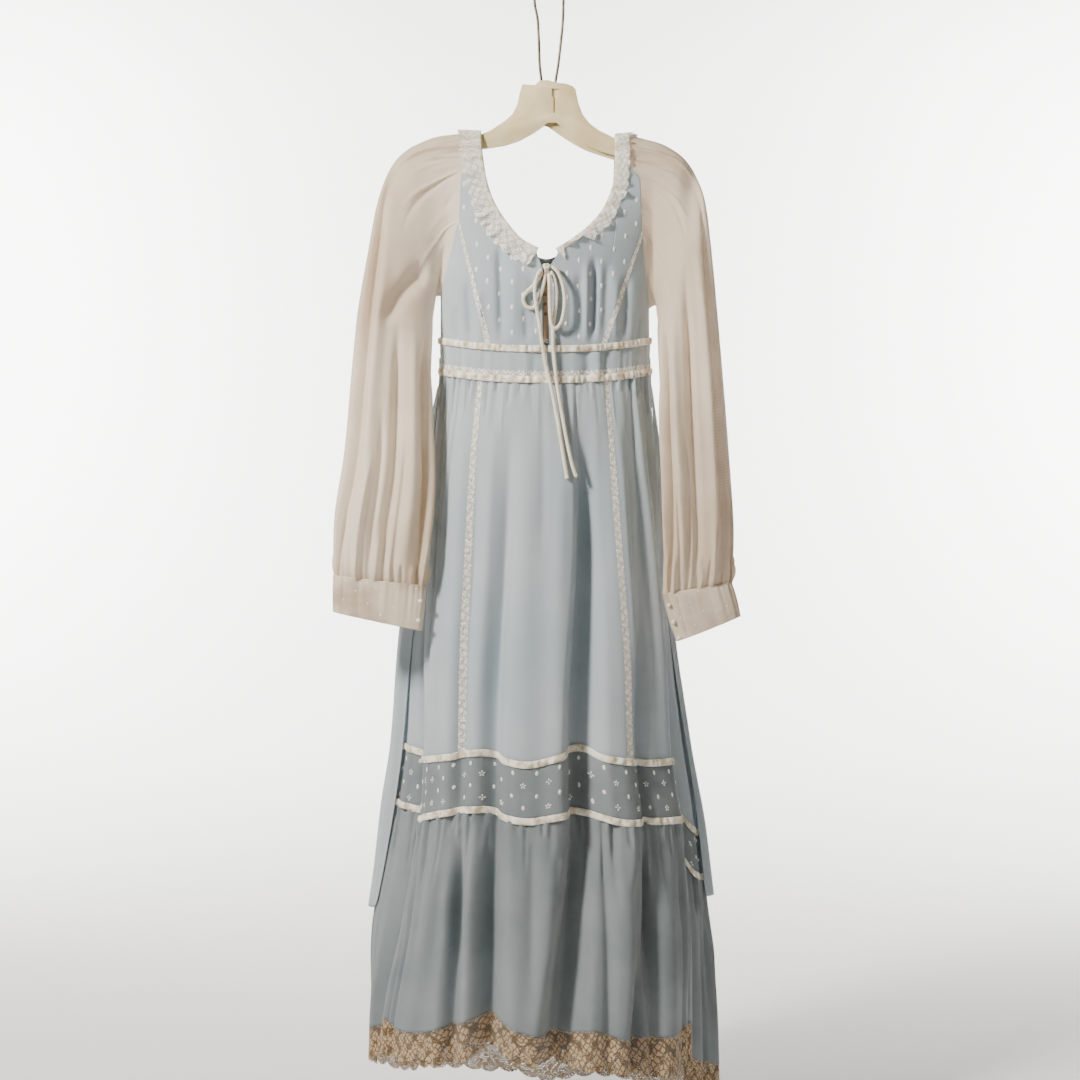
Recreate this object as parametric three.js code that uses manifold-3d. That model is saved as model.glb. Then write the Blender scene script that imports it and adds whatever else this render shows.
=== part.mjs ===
// A long prairie dress with sheer full sleeves, hanging on a plastic hanger with a wire loop.
// Millimetres. X to the viewer's right, the front faces -Y, Z up; the origin is the inner top of the loop.
import * as THREE from 'three';
import { mergeVertices } from 'three/addons/utils/BufferGeometryUtils.js';
import Module from 'manifold-3d';

const wasm = await Module();
wasm.setup();

// Driving dimensions
const SEAM = 0.3; // gap between neighbouring pieces
const CLOTH = 1.6; // wall of the panels
const SHEER = 1.4; // wall of the sleeves
const TRIM = 2.4; // wall of the ribbon and lace trims
const LACE = 1.3; // wall of the gathered lace
const CUFF = 2.6;
const TRIM_HEIGHT = 10;
const BINDING = 7; // width of the neck binding
const FRONT_CELLS = 34; // columns of cloth across the front of the skirt
const BACK_CELLS = 22; // and across its back
const SLEEVE_CELLS = 28; // columns round a sleeve
const FRONT_ARC = 0.5; // share of the way round that the front takes

// A table is its column names and one row of numbers for each section or fold.
const table = (names, ...rows) => {
  const keys = names.split(' ');
  return rows.map((row) => Object.fromEntries(keys.map((key, i) => [key, row[i]])));
};

// Plan of the body at a height: half widths of the front lobe and of the wider back lobe, the depths
// of both, and how far (degrees) the front turns in to the side fold.
const BODY = table('z frontLeft frontRight backLeft backRight frontDepth backDepth turn',
  [-585, 158, 146, 158, 146, 62, 62, 0],
  [-700, 165, 152, 177, 158, 74, 62, 6],
  [-870, 172, 163, 198, 172, 88, 56, 12],
  [-975, 178, 171, 209, 181, 97, 54, 14],
  [-1120, 182, 177, 220, 205, 105, 54, 15],
  [-1210, 187, 191, 234, 218, 110, 55, 15],
  [-1300, 202, 200, 248, 228, 115, 56, 15],
  [-1390, 216, 206, 264, 237, 120, 57, 15],
  [-1500, 238, 206, 267, 246, 125, 58, 15],
  [-1650, 256, 206, 267, 250, 130, 60, 15]);

// Heights round the skirt, from the left side fold over the front (0 to 0.5) and back again:
// middle of the two trims of the insertion band, top of the hem lace and hem.
const LEVELS = table('u upper lower lace hem',
  [0, -1128, -1212, -1530, -1568],
  [0.036, -1132, -1219, -1512, -1550],
  [0.128, -1117, -1196, -1509, -1549],
  [0.17, -1108, -1188, -1491, -1540],
  [0.197, -1116, -1195, -1478, -1518],
  [0.23, -1121, -1200, -1496, -1530],
  [0.264, -1110, -1193, -1505, -1544],
  [0.293, -1104, -1195, -1496, -1545],
  [0.311, -1114, -1200, -1505, -1550],
  [0.333, -1119, -1206, -1513, -1556],
  [0.37, -1126, -1209, -1517, -1566],
  [0.464, -1141, -1224, -1518, -1565],
  [0.5, -1194, -1266, -1562, -1602],
  [0.535, -1238, -1307, -1587, -1629],
  [0.571, -1249, -1316, -1598, -1640],
  [0.75, -1190, -1270, -1585, -1625],
  [0.93, -1123, -1206, -1550, -1590],
  [1, -1128, -1212, -1530, -1568]);

// Long folds of the skirt: where each trough runs at the waist, band and hem, its half width (share of
// the way round) and its depth at the knee, band and hem.
const FOLDS = table('waist band hem width knee deep last',
  [0.193, 0.196, 0.2, 0.02, 8, 15, 26],
  [0.3, 0.286, 0.262, 0.019, 8, 18, 34],
  [0.39, 0.366, 0.341, 0.016, 4, 12, 24],
  [0.146, 0.15, 0.168, 0.012, 2, 8, 13],
  [0.62, 0.625, 0.63, 0.022, 8, 14, 24],
  [0.74, 0.75, 0.755, 0.025, 9, 15, 26],
  [0.87, 0.87, 0.865, 0.02, 7, 13, 22]);

// Shoulder line: top of the cloth over the hanger's arms.
const SHOULDER = table('x z',
  [-241, -300], [-229, -267], [-211, -246], [-187, -231], [-163, -225], [-136, -221], [-104, -216.5],
  [0, -210], [99, -220.5], [134, -227], [171, -236], [194, -252], [217, -285]);
// Half depth of the upper body by the distance below the shoulder line.
const SHOULDER_DEPTH = table('below depth',
  [0, 0], [2, 7.6], [12, 11.5], [41, 20], [84, 32], [134, 45], [184, 55], [239, 62], [400, 62]);

// Inner edge of the neckline on the front, from the slit up to the top of the shoulder.
const NECK = {
  left: [[-15, -389], [-37, -378], [-63, -349], [-81, -319], [-90, -289], [-96, -259], [-98.5, -229],
    [-99, -219.5]],
  right: [[9, -390], [29, -378], [67, -348], [84, -319], [94, -289], [95.5, -259], [96, -234],
    [96.5, -225]],
};
const BACK_NECK_DROP = 6; // the back neckline sits this much lower
// Raglan seams: bend below the shoulder, start of the princess trim (lower and upper edge) and underarm.
const RAGLAN = {
  left: {
    bend: [-127, -281], princessTop: [-130, -343], princessLow: [-132, -352], underarm: [-158, -456],
  },
  right: {
    bend: [131, -287], princessTop: [134, -362], princessLow: [135, -371], underarm: [146, -474],
  },
};
// Lower ends of the princess trims on the bodice, by X of their outer and inner edge.
const PRINCESS_FOOT = { left: [-91, -83], right: [83, 75] };
const SLIT_EDGE = { left: -9.5, right: -0.5 }; // the laced placket stays open between these

// Vertical lace trims of the skirt front: first and last column edge (share of the way round).
const SKIRT_TRIMS = { left: [0.137, 0.1465], right: [0.3415, 0.351] };

// Rings of each sleeve from the armhole to the cuff: outer and inner end, half depth, the middle's
// distance in front of the hanger, and how much the ring still follows the armhole.
const SLEEVES = {
  left: table('outX outZ inX inZ depth forward follow',
    [-136, -221, -166, -457, 22, 0, 0.75],
    [-170, -226, -167, -468, 25, 2, 0.45],
    [-205, -241, -168, -479, 28, 5, 0.2],
    [-230, -267, -169, -492, 30, 9, 0.05],
    [-247, -312, -169, -510, 32, 14, 0],
    [-259, -372, -170, -540, 33, 20, 0],
    [-271, -460, -171, -588, 34, 27, 0],
    [-281, -565, -169, -655, 34, 34, 0],
    [-291, -680, -166, -725, 32, 40, 0],
    [-306, -775, -170, -800, 30, 44, 0],
    [-310, -835, -175, -852, 24, 46, 0],
    [-309, -859, -177, -874, 17, 46, 0]),
  right: table('outX outZ inX inZ depth forward follow',
    [134, -227, 156, -470, 22, 3, 0.75],
    [167, -236, 157, -483, 25, 9, 0.45],
    [193, -251, 158, -494, 28, 16, 0.2],
    [212, -276, 157, -508, 30, 23, 0.05],
    [225, -318, 157, -525, 32, 29, 0],
    [233, -378, 158, -552, 32, 34, 0],
    [241, -465, 160, -596, 32, 39, 0],
    [250, -572, 161, -658, 32, 42, 0],
    [259, -690, 164, -728, 30, 45, 0],
    [265, -785, 165, -806, 28, 47, 0],
    [264, -842, 164, -862, 23, 48, 0],
    [261, -869, 164, -885, 16, 48, 0]),
};
const CUFFS = {
  left: table('outX outZ inX inZ depth forward',
    [-309, -859.6, -177, -874.6, 17, 46],
    [-310, -886, -180, -907, 17, 46],
    [-310, -911, -183, -938, 16, 46]),
  right: table('outX outZ inX inZ depth forward',
    [261, -869.6, 164, -885.6, 16, 48],
    [269, -894, 173, -921, 17, 48],
    [274, -917, 184, -953, 16, 48]),
};
// Pearl buttons on the front of each cuff's inner edge: how far down the cuff each one sits.
const CUFF_BUTTONS = { left: [0.35, 0.75], right: [0.28, 0.6, 0.92] };
const BUTTON_RADIUS = 3.4;

// Back ties: height, share of the way round of both edges, and how far they stand off the body.
const SASHES = {
  left: table('z near far off',
    [-546, 0.994, 0.965, 2.3], [-562, 0.993, 0.963, 3.4], [-600, 0.99, 0.96, 5.6],
    [-700, 0.985, 0.945, 9], [-850, 0.975, 0.925, 12], [-980, 0.962, 0.91, 15],
    [-1120, 0.952, 0.9, 17], [-1240, 0.95, 0.9, 15], [-1362, 0.947, 0.902, 9]),
  right: table('z near far off',
    [-546, 0.506, 0.535, 2.3], [-562, 0.507, 0.537, 3.4], [-600, 0.51, 0.54, 5.6],
    [-700, 0.515, 0.555, 8], [-850, 0.525, 0.575, 9], [-980, 0.538, 0.59, 9],
    [-1120, 0.548, 0.6, 8], [-1240, 0.55, 0.6, 13], [-1346, 0.553, 0.598, 15]),
};

// Drawstring of the neck: its knot and the routes of both tails and both loops (X, Z, distance in
// front of the cloth).
const CORD = 5.4;
const KNOT = { at: [-4, -417], off: 8, radius: 6.5 };
const CORDS = {
  drawstring_tail_left: [
    [-10.9, -419.8, 9.6], [-17, -431, 10.6], [-20.5, -450, 10.8], [-18.5, -472, 10.6], [-14, -498, 7.6],
    [-10, -526, 6.6], [-5, -556, 6.6], [2, -586, 8.5], [12, -636, 7], [20, -686, 6.5], [26, -720, 6.5]],
  drawstring_tail_right: [
    [2.5, -423, 4.8], [8, -436, 4.8], [10.5, -455, 4.8], [9, -476, 4.8], [5.5, -500, 4.8],
    [5.5, -527, 6.6], [8, -556, 6.6], [12, -590, 8.5], [18, -625, 7.2], [25, -664, 6.5],
    [33, -700, 6.5], [39, -717, 6.5]],
  drawstring_loop_left: [
    [-10, -424, 4.2], [-15.5, -435, 4.2], [-23, -444, 4.4], [-32, -453, 4.6], [-37, -463, 4.6],
    [-33, -473, 4.6], [-24, -475.5, 4.6], [-16, -468, 4.4], [-11, -454, 4.2], [-7.5, -440, 4.2],
    [-5.5, -427, 4.2]],
  drawstring_loop_right: [
    [4, -416, 9], [13, -426, 10.6], [20, -446, 10.8], [22, -470, 10.8], [18, -494, 10.8],
    [10, -505, 10.8], [3, -499, 10.8], [1, -472, 10.8], [0.5, -442, 10.4], [-0.5, -426, 8.5]],
};
// Underlap of the placket: its half width and both ends, behind the slit.
const UNDERLAP = { half: 8, top: -421, foot: -524, thick: 1.2, behind: 2.2 };

// Hanger: outlines (X, Z) of the back plate and of the front plate, both with one arm to each side.
const HANGER_BACK = [
  [-206, -253], [-187, -240], [-163, -232], [-136, -226.5], [-104, -221.6], [-85, -213], [-64, -199],
  [-53, -189], [-46, -174], [-43, -159], [-39, -146], [-20, -147], [-14, -142], [-2, -141], [12, -145],
  [24, -146], [35, -150], [39, -155], [43, -175], [49, -191], [59, -204], [74, -215], [96, -225.8],
  [134, -234], [164, -243.5], [184, -257], [184, -268], [164, -266], [134, -264], [96, -257], [74, -250],
  [54, -243], [37, -234], [21, -224], [5, -213], [-2, -208], [-7, -207], [-21, -217], [-43, -229],
  [-64, -236], [-96, -241], [-136, -246], [-187, -254], [-206, -262]];
const HANGER_FRONT = [
  [-206, -254], [-187, -241], [-163, -233.5], [-136, -228.5], [-104, -223.4], [-85, -217], [-64, -206],
  [-53, -202], [-43, -196], [-34, -186], [-27, -175], [-22, -159], [-20, -148], [-14, -142], [-2, -141],
  [12, -145], [24, -146], [35, -150], [39, -155], [43, -175], [49, -191], [59, -204], [74, -215],
  [96, -225.8], [134, -234], [164, -243.5], [184, -257], [184, -267], [164, -262], [134, -258],
  [96, -251], [74, -245], [54, -236], [37, -225], [21, -212], [11, -203], [-2, -203], [-7, -207],
  [-21, -217], [-43, -229], [-64, -236], [-96, -241], [-136, -246], [-187, -254], [-206, -262]];
const HANGER_THICK = 12;
const HANGER_WEB = 5;
const HANGER_RIM = 4; // depth of the channels between the plates
// The boss: a solid block where the wire sits, a square window in front and a slit below it, each as
// its middle (X, Z) and size (X, Z).
const BOSS_BLOCK = { at: [1, -159], size: [38, 18] };
const BOSS_WINDOW = { at: [9.25, -159.5], size: [10.5, 12], deep: 3 };
const BOSS_SLIT = { at: [7.75, -177], size: [2.5, 24], deep: 2.2 };
const WIRE = 4;
const WIRE_SOCKET = 22; // length of the bore for each leg
const WIRE_LEGS = [-10.7, 9.6];
const WIRE_FOOT = 156; // how far down the legs reach
const WIRE_PATH = [
  [-10.7, -156], [-10.7, -143], [-13.5, -118], [-14.7, -84], [-16.5, -52], [-20.5, -30], [-20.2, -14],
  [-11.5, -1.5], [0, 2], [11.5, -1.5], [20.2, -14], [21, -32], [20, -58], [17.5, -84], [13.5, -118],
  [9.6, -143], [9.6, -156]];

// Small maths
const lerp = (a, b, t) => a + (b - a) * t;
const clamp = (x, low, high) => Math.min(high, Math.max(low, x));
const smooth = (a, b, x) => {
  const t = clamp((x - a) / (b - a), 0, 1);
  return t * t * (3 - 2 * t);
};
const rad = THREE.MathUtils.degToRad;
const span = (count) => Array.from({ length: count + 1 }, (_, i) => i / count);

// A column of a table at a key, smoothly between rows and held beyond the ends.
function look(rows, key, column, at) {
  const up = rows[0][key] < rows[1][key] ? 1 : -1;
  const last = rows.length - 1;
  const k = (i) => rows[i][key] * up;
  const v = (i) => rows[i][column];
  const x = clamp(at * up, k(0), k(last));
  let i = 0;
  while (i < last - 1 && x > k(i + 1)) i++;
  const slope = (a, b) => (v(b) - v(a)) / (k(b) - k(a));
  const tangent = (j) => slope(Math.max(j - 1, 0), Math.min(j + 1, last));
  const h = k(i + 1) - k(i);
  const t = (x - k(i)) / h;
  const t2 = t * t;
  const t3 = t2 * t;
  return (2 * t3 - 3 * t2 + 1) * v(i) + (t3 - 2 * t2 + t) * h * tangent(i)
    + (3 * t2 - 2 * t3) * v(i + 1) + (t3 - t2) * h * tangent(i + 1);
}

// A point at share t of the length of a chain of points.
function along(points, t) {
  const lengths = points.slice(1).map((p, i) => Math.hypot(...p.map((c, k) => c - points[i][k])));
  let rest = clamp(t, 0, 1) * lengths.reduce((a, b) => a + b, 0);
  for (let i = 0; i < lengths.length; i++) {
    if (rest <= lengths[i] || i === lengths.length - 1) {
      return points[i].map((c, k) => lerp(c, points[i + 1][k], Math.min(1, rest / lengths[i])));
    }
    rest -= lengths[i];
  }
  return points[0];
}

// Cloth walls
// A sheet is rows of cells { p, n }: a point of the middle surface and its outward direction.
const cell = (p, n) => ({ p, n: n.clone().normalize() });

// Directions of a sheet that has none of its own, from its neighbours; `closed` joins the last column
// to the first.
function withNormals(points, closed = false) {
  const rows = points.length;
  const cols = points[0].length;
  const at = (r, c) => points[clamp(r, 0, rows - 1)][closed ? (c + cols) % cols : clamp(c, 0, cols - 1)];
  return points.map((row, r) => row.map((p, c) => {
    const down = at(r + 1, c).clone().sub(at(r - 1, c));
    const across = at(r, c + 1).clone().sub(at(r, c - 1));
    return cell(p, down.cross(across));
  }));
}

// Draws the open edges of a sheet back by a gap.
function inset(sheet, gap, { top = gap, bottom = gap, start = gap, end = gap } = {}) {
  const out = sheet.map((row) => row.map(({ p, n }) => ({ p: p.clone(), n })));
  const pull = (target, from, amount) => {
    const way = from.clone().sub(target);
    target.addScaledVector(way.normalize(), amount);
  };
  const rows = sheet.length - 1;
  const cols = sheet[0].length - 1;
  for (let c = 0; c <= cols; c++) {
    if (top) pull(out[0][c].p, sheet[1][c].p, top);
    if (bottom) pull(out[rows][c].p, sheet[rows - 1][c].p, bottom);
  }
  for (let r = 0; r <= rows; r++) {
    if (start) pull(out[r][0].p, sheet[r][1].p, start);
    if (end) pull(out[r][cols].p, sheet[r][cols - 1].p, end);
  }
  return out;
}

// A closed wall of a thickness on a sheet, its outer face `lift` further out.
function wall(sheet, thick, { closed = false, lift = 0 } = {}) {
  const rows = sheet.length;
  const cols = sheet[0].length;
  const positions = [];
  const faces = [];
  for (const side of [thick / 2 + lift, -thick / 2 + lift]) {
    for (const row of sheet) {
      for (const { p, n } of row) positions.push(...p.clone().addScaledVector(n, side).toArray());
    }
  }
  const outer = (r, c) => r * cols + (c % cols);
  const inner = (r, c) => rows * cols + outer(r, c);
  const quad = (a, b, c, d) => faces.push(a, b, c, a, c, d);
  const wide = closed ? cols : cols - 1;
  for (let r = 0; r < rows - 1; r++) {
    for (let c = 0; c < wide; c++) {
      quad(outer(r, c), outer(r + 1, c), outer(r + 1, c + 1), outer(r, c + 1));
      quad(inner(r, c), inner(r, c + 1), inner(r + 1, c + 1), inner(r + 1, c));
    }
    if (!closed) {
      quad(outer(r, 0), inner(r, 0), inner(r + 1, 0), outer(r + 1, 0));
      quad(outer(r, wide), outer(r + 1, wide), inner(r + 1, wide), inner(r, wide));
    }
  }
  for (let c = 0; c < wide; c++) {
    quad(outer(0, c), outer(0, c + 1), inner(0, c + 1), inner(0, c));
    quad(outer(rows - 1, c), inner(rows - 1, c), inner(rows - 1, c + 1), outer(rows - 1, c + 1));
  }
  const geometry = new THREE.BufferGeometry();
  geometry.setAttribute('position', new THREE.Float32BufferAttribute(positions, 3));
  geometry.setIndex(faces);
  return geometry;
}

// The body below the bust
// Plan position (X, Y) on the smooth body at share u of the way round and height z.
function plan(u, z) {
  const get = (name) => look(BODY, 'z', name, z);
  const turn = rad(get('turn'));
  const depth = get('frontDepth');
  if (u <= FRONT_ARC) {
    const a = (u / 0.25 - 1) * (Math.PI / 2 + turn);
    return [Math.sin(a) * get(a < 0 ? 'frontLeft' : 'frontRight'), -depth * Math.cos(a)];
  }
  const w = (u - 0.75) / 0.25;
  const narrower = (side) => get('front' + side) * Math.cos(turn) / get('back' + side);
  const reach = (side) => Math.PI - Math.asin(Math.min(1, narrower(side)));
  const middle = (side) => depth * Math.sin(turn) - get('backDepth') * Math.cos(reach(side));
  const y0 = lerp(middle('Right'), middle('Left'), smooth(-1, 1, w));
  const a = Math.abs(w) * reach(w < 0 ? 'Right' : 'Left');
  const x = Math.sin(a) * (w < 0 ? get('backRight') : -get('backLeft'));
  return [x, y0 + get('backDepth') * Math.cos(a)];
}

// Height of each seam row at share u: edges of the waist trims, of the band's trims, lace and hem.
function seamHeights(u) {
  const side = Math.abs(Math.cos(2 * Math.PI * u)) ** 2.5;
  const half = TRIM_HEIGHT / 2;
  const level = (name) => look(LEVELS, 'u', name, u);
  return [
    -529 + 13 * side, -539 + 13 * side, -573 + 12 * side, -583 + 12 * side,
    level('upper') + half, level('upper') - half, level('lower') + half, level('lower') - half,
    level('lace'), level('hem'),
  ];
}
const ROW = {
  trimTop: 0, midriff: 1, lowTrim: 2, skirt: 3, bandTrim: 4, band: 5, bandFoot: 6, flounce: 7, lace: 8,
  hem: 9,
};

function heightAt(u, v) {
  const z = seamHeights(u);
  const i = Math.min(Math.floor(v), z.length - 2);
  return lerp(z[i], z[i + 1], v - i);
}

// Depth of the long folds at share u and row v: zero at the waist, deepest at the hem.
function foldDepth(u, v) {
  const knee = smooth(ROW.skirt, ROW.skirt + 0.5, v);
  const band = smooth(ROW.skirt + 0.4, ROW.band, v);
  const last = smooth(ROW.flounce, ROW.hem, v);
  return FOLDS.reduce((sum, fold) => {
    const path = lerp(lerp(fold.waist, fold.band, band), fold.hem, last);
    const depth = lerp(lerp(fold.knee * knee, fold.deep, band), fold.last, last);
    return sum + depth * Math.exp(-(((u - path) / fold.width) ** 2));
  }, 0);
}

function bodyPoint(u, v) {
  const z = heightAt(u, v);
  const [x, y] = plan(clamp(u, 0, 1), z);
  return new THREE.Vector3(x, y, z);
}

// Outward direction in plan at share u and height z.
function planNormal(u, z) {
  const e = 0.004;
  const [ax, ay] = plan((u - e + 1) % 1, z);
  const [bx, by] = plan((u + e) % 1, z);
  return new THREE.Vector3(by - ay, ax - bx, 0).normalize();
}

// A cell of the skirt with its folds; `gather` is an extra move outwards.
function bodyCell(u, v, gather = 0) {
  const p = bodyPoint(u, v);
  const n = planNormal(u, p.z);
  return cell(p.addScaledVector(n, gather - foldDepth(u, v)), n);
}

// Columns: the front is cut at its two lace trims, the back runs from side fold to side fold.
function frontColumns(cells, parts) {
  const edges = [0, ...SKIRT_TRIMS.left, ...SKIRT_TRIMS.right, FRONT_ARC];
  return parts.flatMap((part) => {
    const count = [9, 1, 14, 1, 9][part] * cells;
    return span(count).slice(part === parts[0] ? 0 : 1).map((t) => lerp(edges[part], edges[part + 1], t));
  });
}
const FRONT_PART = { sideLeft: 0, trimLeft: 1, centre: 2, trimRight: 3, sideRight: 4 };
const wholeFront = (cells = 1) => frontColumns(cells, [0, 1, 2, 3, 4]);
const backColumns = (cells = 1) => span(BACK_CELLS * cells).map((t) => lerp(FRONT_ARC, 1, t));
const allRound = () => [...wholeFront(), ...backColumns().slice(1, -1)];

// Waist gathers: every other column stands out, most at the sides, and they die away below.
function waistGather(u, v) {
  const index = Math.round(u * 2 * (u < FRONT_ARC ? FRONT_CELLS : BACK_CELLS));
  const fade = 1 - smooth(ROW.skirt, ROW.skirt + 0.3, v);
  return (index % 2 ? 1 : -1) * fade * (0.8 + 1.8 * Math.abs(Math.cos(2 * Math.PI * u)) ** 1.5);
}

const skirtRows = [0, 0.06, 0.16, 0.34, 0.56, 0.78, 1].map((t) => ROW.skirt + t);
const skirtSheet = (columns) => skirtRows.map((v) => columns.map((u, i) => {
  const gather = i % (columns.length - 1) ? waistGather(u, v) : 0;
  return bodyCell(u, v, gather);
}));
const ring = (columns, rows) => rows.map((v) => columns.map((u) => bodyCell(u, v)));

// Gathers of the flounce: fine at its seam, merging into broader waves at the hem. The sheet's own
// first and last column stay on the smooth body.
function flounceGather(i, v, count) {
  if (i === 0 || i === count - 1) return 0;
  const t = clamp((v - ROW.flounce) / (ROW.hem - ROW.flounce), 0, 1);
  const fine = (i % 2 ? 1 : -1) * 3.2 * (1 - t) ** 1.4;
  const broad = 6.5 * smooth(0, 0.6, t) * Math.sin((2 * Math.PI * i) / 6.6 + 1.1 * Math.sin(i * 0.37));
  return fine + broad;
}
const flounceRows = [0, 0.12, 0.36, 0.68, 1].map((t) => ROW.flounce + t);
// Its upper edge follows the coarser columns of the trim that it hangs from.
const flounceSheet = (columns) => flounceRows.map((v) => columns.map((u, i) => {
  const spot = bodyCell(u, v);
  if (v === ROW.flounce && i % 2) {
    const [a, b] = [bodyCell(columns[i - 1], v), bodyCell(columns[i + 1], v)];
    spot.p = a.p.lerp(b.p, 0.5);
    spot.n = a.n.lerp(b.n, 0.5);
  }
  spot.p.addScaledVector(spot.n, flounceGather(i, v, columns.length));
  return spot;
}));

// Hem lace: four columns make one scallop.
function hemLaceSheet(columns) {
  const scallop = [0, 5, 7, 5];
  return [ROW.lace, ROW.lace + 0.5, ROW.hem].map((v) => columns.map((u, i) => {
    const spot = bodyCell(u, v, flounceGather(i, v, columns.length));
    if (v === ROW.hem) spot.p.z -= scallop[i % 4];
    return spot;
  }));
}

// The body above the waist
// Half depth of the upper body at a place seen from the front; 0 on the shoulder line and side seam.
function upperDepth(x, z) {
  const below = Math.max(0, look(SHOULDER, 'x', 'z', x) - z);
  const depth = look(SHOULDER_DEPTH, 'below', 'depth', below);
  const half = x < 0 ? BODY[0].frontLeft : BODY[0].frontRight;
  const across = Math.sqrt(Math.max(0, 1 - (x / half) ** 2));
  return depth * lerp(1, across, smooth(-262, -410, z));
}

// Soft vertical folds of the bodice front, right of the placket and beside the left princess trim.
const BODICE_FOLDS = table('x width depth', [48, 11, 5], [74, 8, 3], [-72, 9, 4], [-118, 8, 3], [112, 8, 4]);
function upperPoint(x, z, side) {
  const top = look(SHOULDER, 'x', 'z', x);
  let y = side * upperDepth(x, Math.min(z, top));
  if (side < 0) {
    const fade = smooth(-330, -400, z) * (1 - smooth(-500, -528, z));
    const trough = (fold) => fold.depth * Math.exp(-(((x - fold.x) / fold.width) ** 2));
    y += fade * BODICE_FOLDS.reduce((sum, fold) => sum + trough(fold), 0);
  }
  return new THREE.Vector3(x, y, Math.min(z, top));
}
function upperNormal(x, z, side) {
  const half = x < 0 ? BODY[0].frontLeft : BODY[0].frontRight;
  if (Math.abs(x) > half - 1) return new THREE.Vector3(Math.sign(x), 0, 0);
  const e = 2;
  const p = (dx, dz) => new THREE.Vector3(x + dx, side * upperDepth(x + dx, z + dz), z + dz);
  return p(0, -e).sub(p(0, e)).cross(p(e, 0).sub(p(-e, 0))).multiplyScalar(-side).normalize();
}

// Chains of the upper edges, from the underarm up the raglan seam to the neck, and along the neck.
const outward = (hand) => (hand === 'left' ? -1 : 1);
function neckChain(hand) {
  const points = NECK[hand];
  return points.map(([x, z], i) => {
    const [ax, az] = points[Math.max(0, i - 1)];
    const [bx, bz] = points[Math.min(points.length - 1, i + 1)];
    const length = Math.hypot(bx - ax, bz - az);
    const way = i === points.length - 1 ? [outward(hand), 0]
      : [outward(hand) * (bz - az) / length, -Math.abs(bx - ax) / length];
    return { at: [x, z], way };
  });
}
// A point at share t up the neck edge, `out` away from the opening.
function neckAt(hand, t, out) {
  const chain = neckChain(hand);
  const [x, z] = along(chain.map(({ at }) => at), t);
  const i = clamp(t, 0, 1) * (chain.length - 1);
  const near = Math.min(Math.floor(i), chain.length - 2);
  const way = [0, 1].map((k) => lerp(chain[near].way[k], chain[near + 1].way[k], i - near));
  return [x + way[0] * out, z + way[1] * out];
}
// The same with the back neckline's drop, which dies out where the sleeve begins.
const RAGLAN_SHARE = 0.86;
function neckSpot(hand, t, out, side) {
  const [x, z] = neckAt(hand, t, out);
  return [x, side > 0 ? z - BACK_NECK_DROP * (1 - smooth(0.5, RAGLAN_SHARE, t)) : z];
}
const NECK_STEPS = [0, 0.14, 0.28, 0.42, 0.56, 0.7, RAGLAN_SHARE, 0.93, 0.97, 1];
const panelSteps = NECK_STEPS.slice(0, 7).reverse();

// Where the columns of the centre front end at the waist, from princess trim to slit: they fan out.
const CENTRE_FEET = [0, 0.02, 0.05, 0.1, 0.16, 0.24, 0.35, 0.5, 0.72, 1];

// Front panels of one side as rows of (X, Z), from the upper edge to the waist.
function frontPanels(hand) {
  const { bend, princessTop, princessLow, underarm } = RAGLAN[hand];
  const half = hand === 'left' ? BODY[0].frontLeft : BODY[0].frontRight;
  const [footOut, footIn] = PRINCESS_FOOT[hand];
  const sign = outward(hand);
  const slit = SLIT_EDGE[hand];
  const top = {
    side: span(5).map((t) => along([underarm, princessLow], t)),
    trim: [princessLow, princessTop],
    centre: [princessTop, along([princessTop, bend], 0.5), bend,
      ...panelSteps.map((t) => neckAt(hand, t, BINDING + SEAM))],
  };
  const foot = {
    side: span(5).map((t) => lerp(sign * half, footOut, t)),
    trim: [footOut, footIn],
    centre: CENTRE_FEET.map((t) => lerp(footIn, slit, t)),
  };
  const rows = span(7);
  const sheetOf = (part) => rows.map((t) => top[part].map(([x, z], i) => {
    const footX = foot[part][i];
    const share = footX / half;
    const footZ = -529 + 13 * Math.abs(share) ** 2.5;
    const last = part === 'centre' && i === top[part].length - 1;
    const ease = part === 'centre' ? 1 + 0.2 * Math.min(i, 3) : 1;
    const px = last ? lerp(x, slit, smooth(0, 0.2, t)) : lerp(x, footX, t ** ease);
    const pz = lerp(z, footZ, t);
    return cell(upperPoint(px, pz, -1), upperNormal(px, pz, -1));
  }));
  return { side: sheetOf('side'), trim: sheetOf('trim'), centre: sheetOf('centre') };
}

// Back of the bodice in one piece, from the right side seam to the left one.
function backSheet() {
  const edge = (hand) => {
    const { bend, princessTop, princessLow, underarm } = RAGLAN[hand];
    return [underarm, along([princessLow, underarm], 0.6), princessLow, princessTop,
      along([bend, princessTop], 0.5), bend,
      ...panelSteps.slice(0, -1).map((t) => neckSpot(hand, t, BINDING, 1))];
  };
  const middle = [-3, -398 - BINDING];
  const top = [...edge('right'), middle, ...edge('left').reverse()];
  const half = (top.length - 1) / 2;
  const footX = top.map((_, i) => {
    const a = Math.PI / 2 * (1 - i / half);
    return Math.sin(a) * (a > 0 ? BODY[0].frontRight : BODY[0].frontLeft);
  });
  return span(6).map((t) => top.map(([x, z], i) => {
    const side = Math.abs(Math.sin(Math.PI / 2 * (1 - i / half))) ** 2.5;
    const px = lerp(x, footX[i], t);
    const pz = lerp(z, -529 + 13 * side, t);
    return cell(upperPoint(px, pz, 1), upperNormal(px, pz, 1));
  }));
}

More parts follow.
